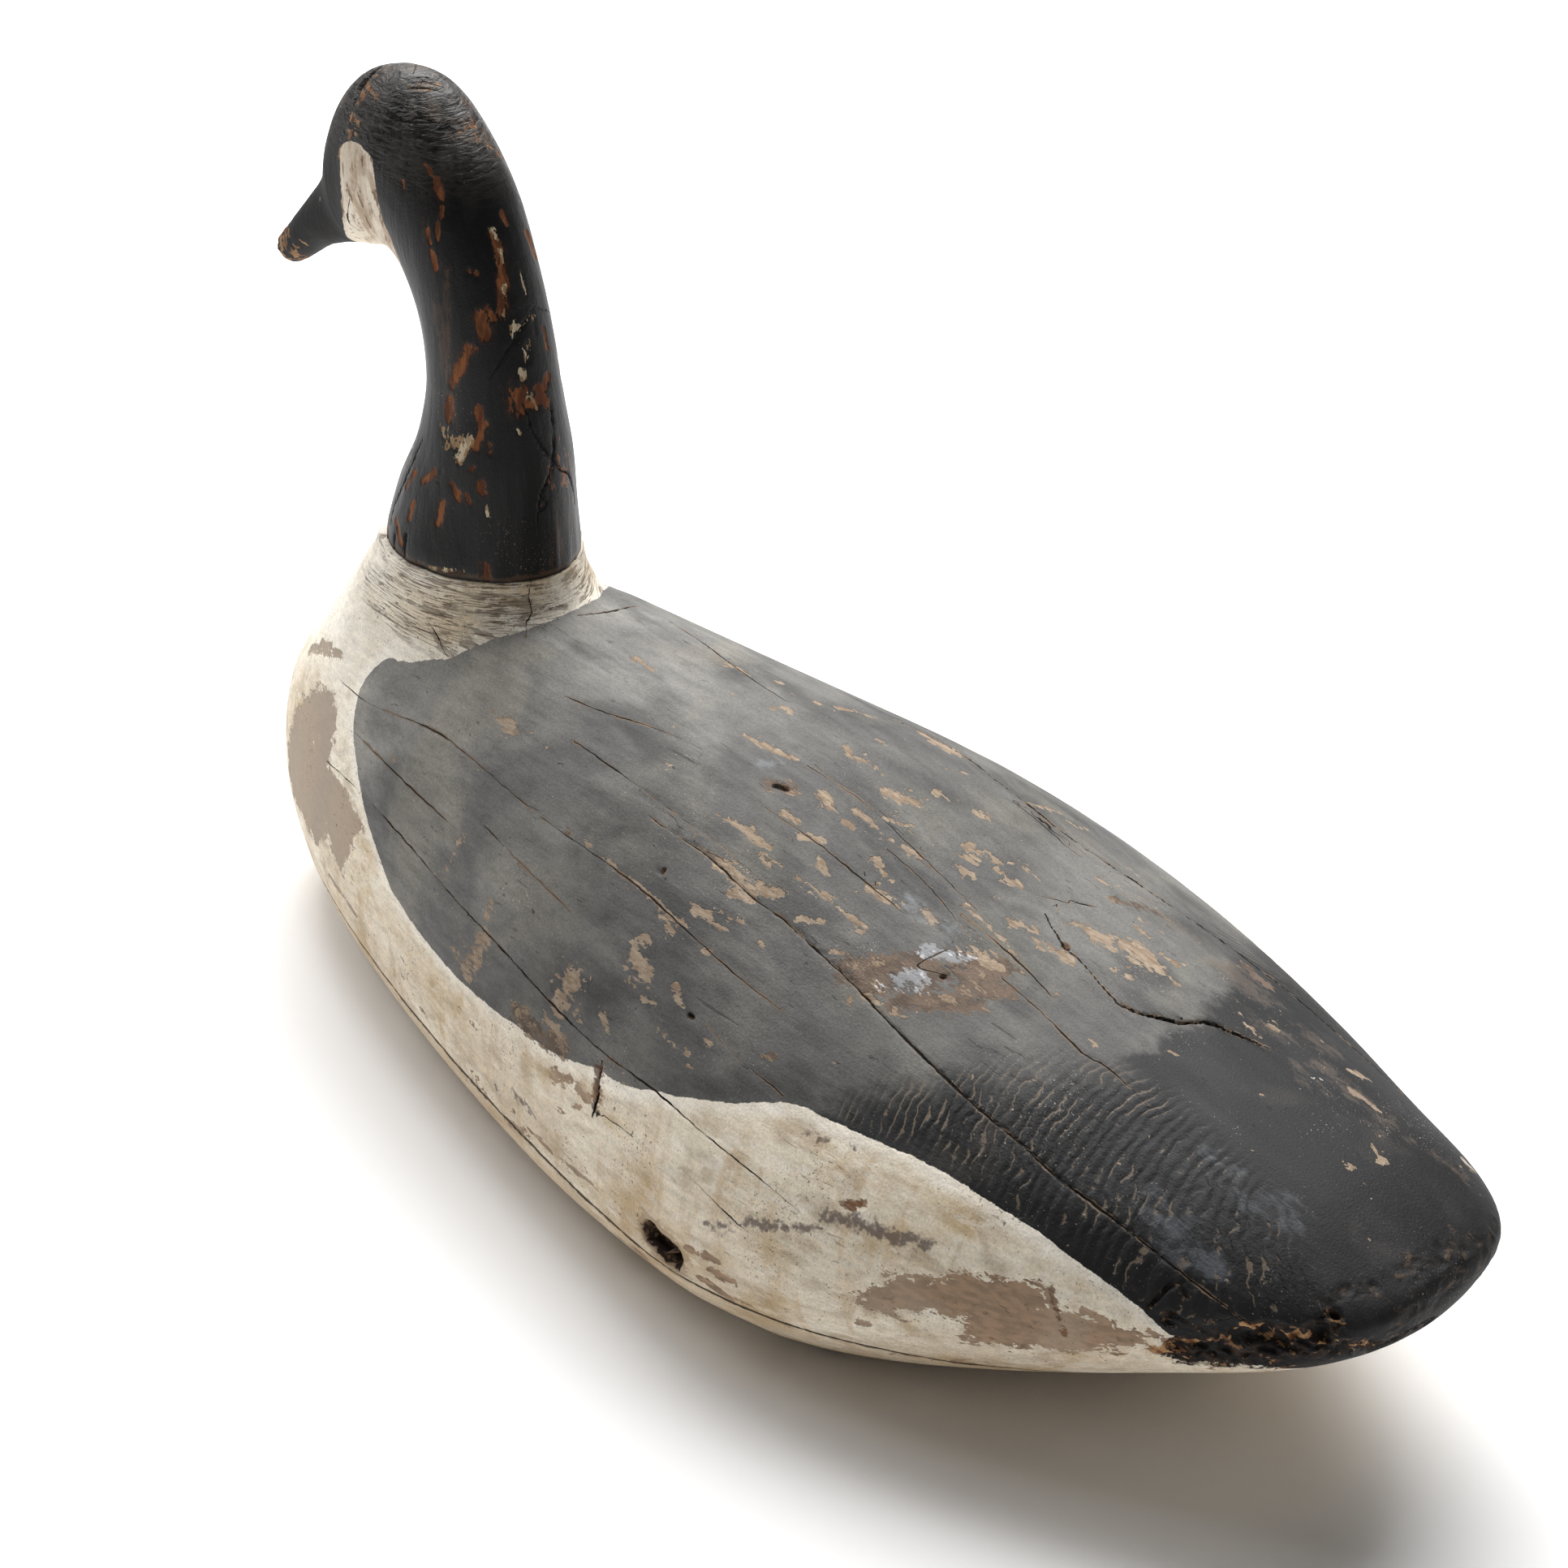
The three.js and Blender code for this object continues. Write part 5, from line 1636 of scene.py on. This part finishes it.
        cheek_zone = mix.field("cheek")
        cheek = (cheek_zone + mix.noise(190, 4) * 0.4 + tear * 0.35).rise(-0.1, 0.2)
        top = up.rise(0.30, 0.322)
        patch = mix.mix(mix.noise(60, 4, slow, 0.4).rise(-0.5, 0.9), self.clean, self.cream)
        dirt = (mix.noise(120, 4, slow, 0.5) + top * 0.6 + tear * 0.5).rise(0.3, 1.4)
        patch = mix.mix(dirt * 0.6, patch, self.dirt)
        patch = mix.mix((tear + top * 0.3).rise(0.8, 0.95) * 0.8, patch, self.cheek_chip)
        patch = mix.mix(cheek_zone.rise(1.4, 0.2) * mottle.rise(-0.6, 0.4) * 0.5, patch, self.cheek_edge)
        mix.lay(cheek, mix.shade(patch, 1 + speckle * 0.08 + grain * 0.06))

        specks = mix.specks(1500, 1.2).over(mix.specks(650, 1.35)) * (1 - cheek)
        mix.lay(specks * 0.65, self.speck)
        across, apart, half = mix.field("check_across"), mix.field("check_apart"), mix.field("check_half")
        edge = abs(across + mix.noise(330, 3) * 0.08) - half
        # Painted shade inside the checks and the split crown.
        gap = (edge + mix.noise(120, 3) * half * 0.7).rise(0.1, -0.06) * apart.rise(3.4, 2.2)
        mix.lay(gap, self.gap)
        foot = (up + tear * 0.0012).rise(0.1942, 0.1926)
        mix.lay(foot * 0.55, self.foot_wood)
        joint = (up + mix.noise(130, 3) * 0.0004).rise(0.1922, 0.1912)
        mix.lay(joint * 0.9, self.joint)

        lost = wood.over(cream).over(pale)
        roughness = 0.46 + lost * 0.3 + cheek * 0.3 + mottle * 0.07 + wear_and_highlight * 0.1 - crown * 0.12 + bill * 0.3
        mix.shader.inputs["Specular IOR Level"].default_value = self.gloss
        height = grain * 0.12 + mottle * 0.1 + speckle * 0.06 - lost * 0.45 - gap * 1.0 - cheek * 0.3
        height = height + wrinkled * (crown * 0.24 + wear_and_highlight * 0.25) + tear * (cheek * 0.12 + 0.04)
        mix.finish(roughness, height, self.relief)
        return mix.material


@dataclass(frozen=True)
class Studio:
    """The pale floor and the soft light.

    Args:
        floor_side: Side of the floor, in metres.
        paper: The floor's colour.
        sky: Brightness of the light from all round.
    """

    floor_side: float = 12.0
    paper: Colour = (0.93, 0.93, 0.93)
    sky: float = 0.135

    def set_up(self) -> None:
        """Lays the floor and hangs the lights."""
        bpy.ops.object.select_all(action="DESELECT")
        bpy.ops.mesh.primitive_plane_add(size=self.floor_side, location=(0.0, 0.0, 0.0))
        floor = bpy.context.object
        floor.name = "studio_floor"
        recipe = Recipe("floor_paper")
        recipe.shader.inputs["Base Color"].default_value = (*self.paper, 1.0)
        recipe.shader.inputs["Roughness"].default_value = 0.9
        floor.data.materials.append(recipe.material)
        world = bpy.data.worlds.new("studio_air")
        world.use_nodes = True
        world.node_tree.nodes["Background"].inputs["Color"].default_value = (1.0, 1.0, 1.0, 1.0)
        world.node_tree.nodes["Background"].inputs["Strength"].default_value = self.sky
        bpy.context.scene.world = world
        self.hang("key_light", (1.0, -1.2, 2.3), 2.4, 160)
        self.hang("front_light", (1.7, 0.5, 1.9), 1.4, 21)
        bpy.context.scene.view_settings.view_transform = "Standard"

    def hang(self, name: str, place: tuple[float, float, float], size: float, power: float) -> None:
        """Hangs a square soft light that faces the object.

        Args:
            name: The light's name.
            place: Where it hangs, in metres.
            size: Its side, in metres.
            power: Its power, in watts.
        """
        bpy.ops.object.light_add(type="AREA", location=place)
        lamp = bpy.context.object
        lamp.name = name
        lamp.data.energy = power
        lamp.data.size = size
        way = Vector((0.0, 0.0, 0.1)) - Vector(place)
        lamp.rotation_euler = way.to_track_quat("-Z", "Y").to_euler()


def hand_over(piece: bpy.types.Object, node: str, material: bpy.types.Material) -> None:
    """Gives a piece its finish and its place in the frame.

    Args:
        piece: The finished piece.
        node: The solid that it stands for.
        material: Its finish.
    """
    piece.data.materials.clear()
    piece.data.materials.append(material)
    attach(piece, "root")
    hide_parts(node)


def main() -> None:
    """Builds the decoy in its studio."""
    logging.basicConfig(level=logging.INFO, format="%(name)s: %(message)s")
    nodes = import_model()["nodes"]
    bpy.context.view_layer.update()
    VIEW.set_up()
    Studio().set_up()
    upper, board = CarvedBody().build(nodes)
    neck = NeckAndHead().build(nodes)
    hand_over(upper, "body_upper", BodyPaint("old_body_paint").make())
    hand_over(board, "body_lower", BodyPaint("old_board_paint", board=True).make())
    hand_over(neck, "neck_and_head", NeckPaint("old_neck_paint").make())


if __name__ == "__main__":
    main()
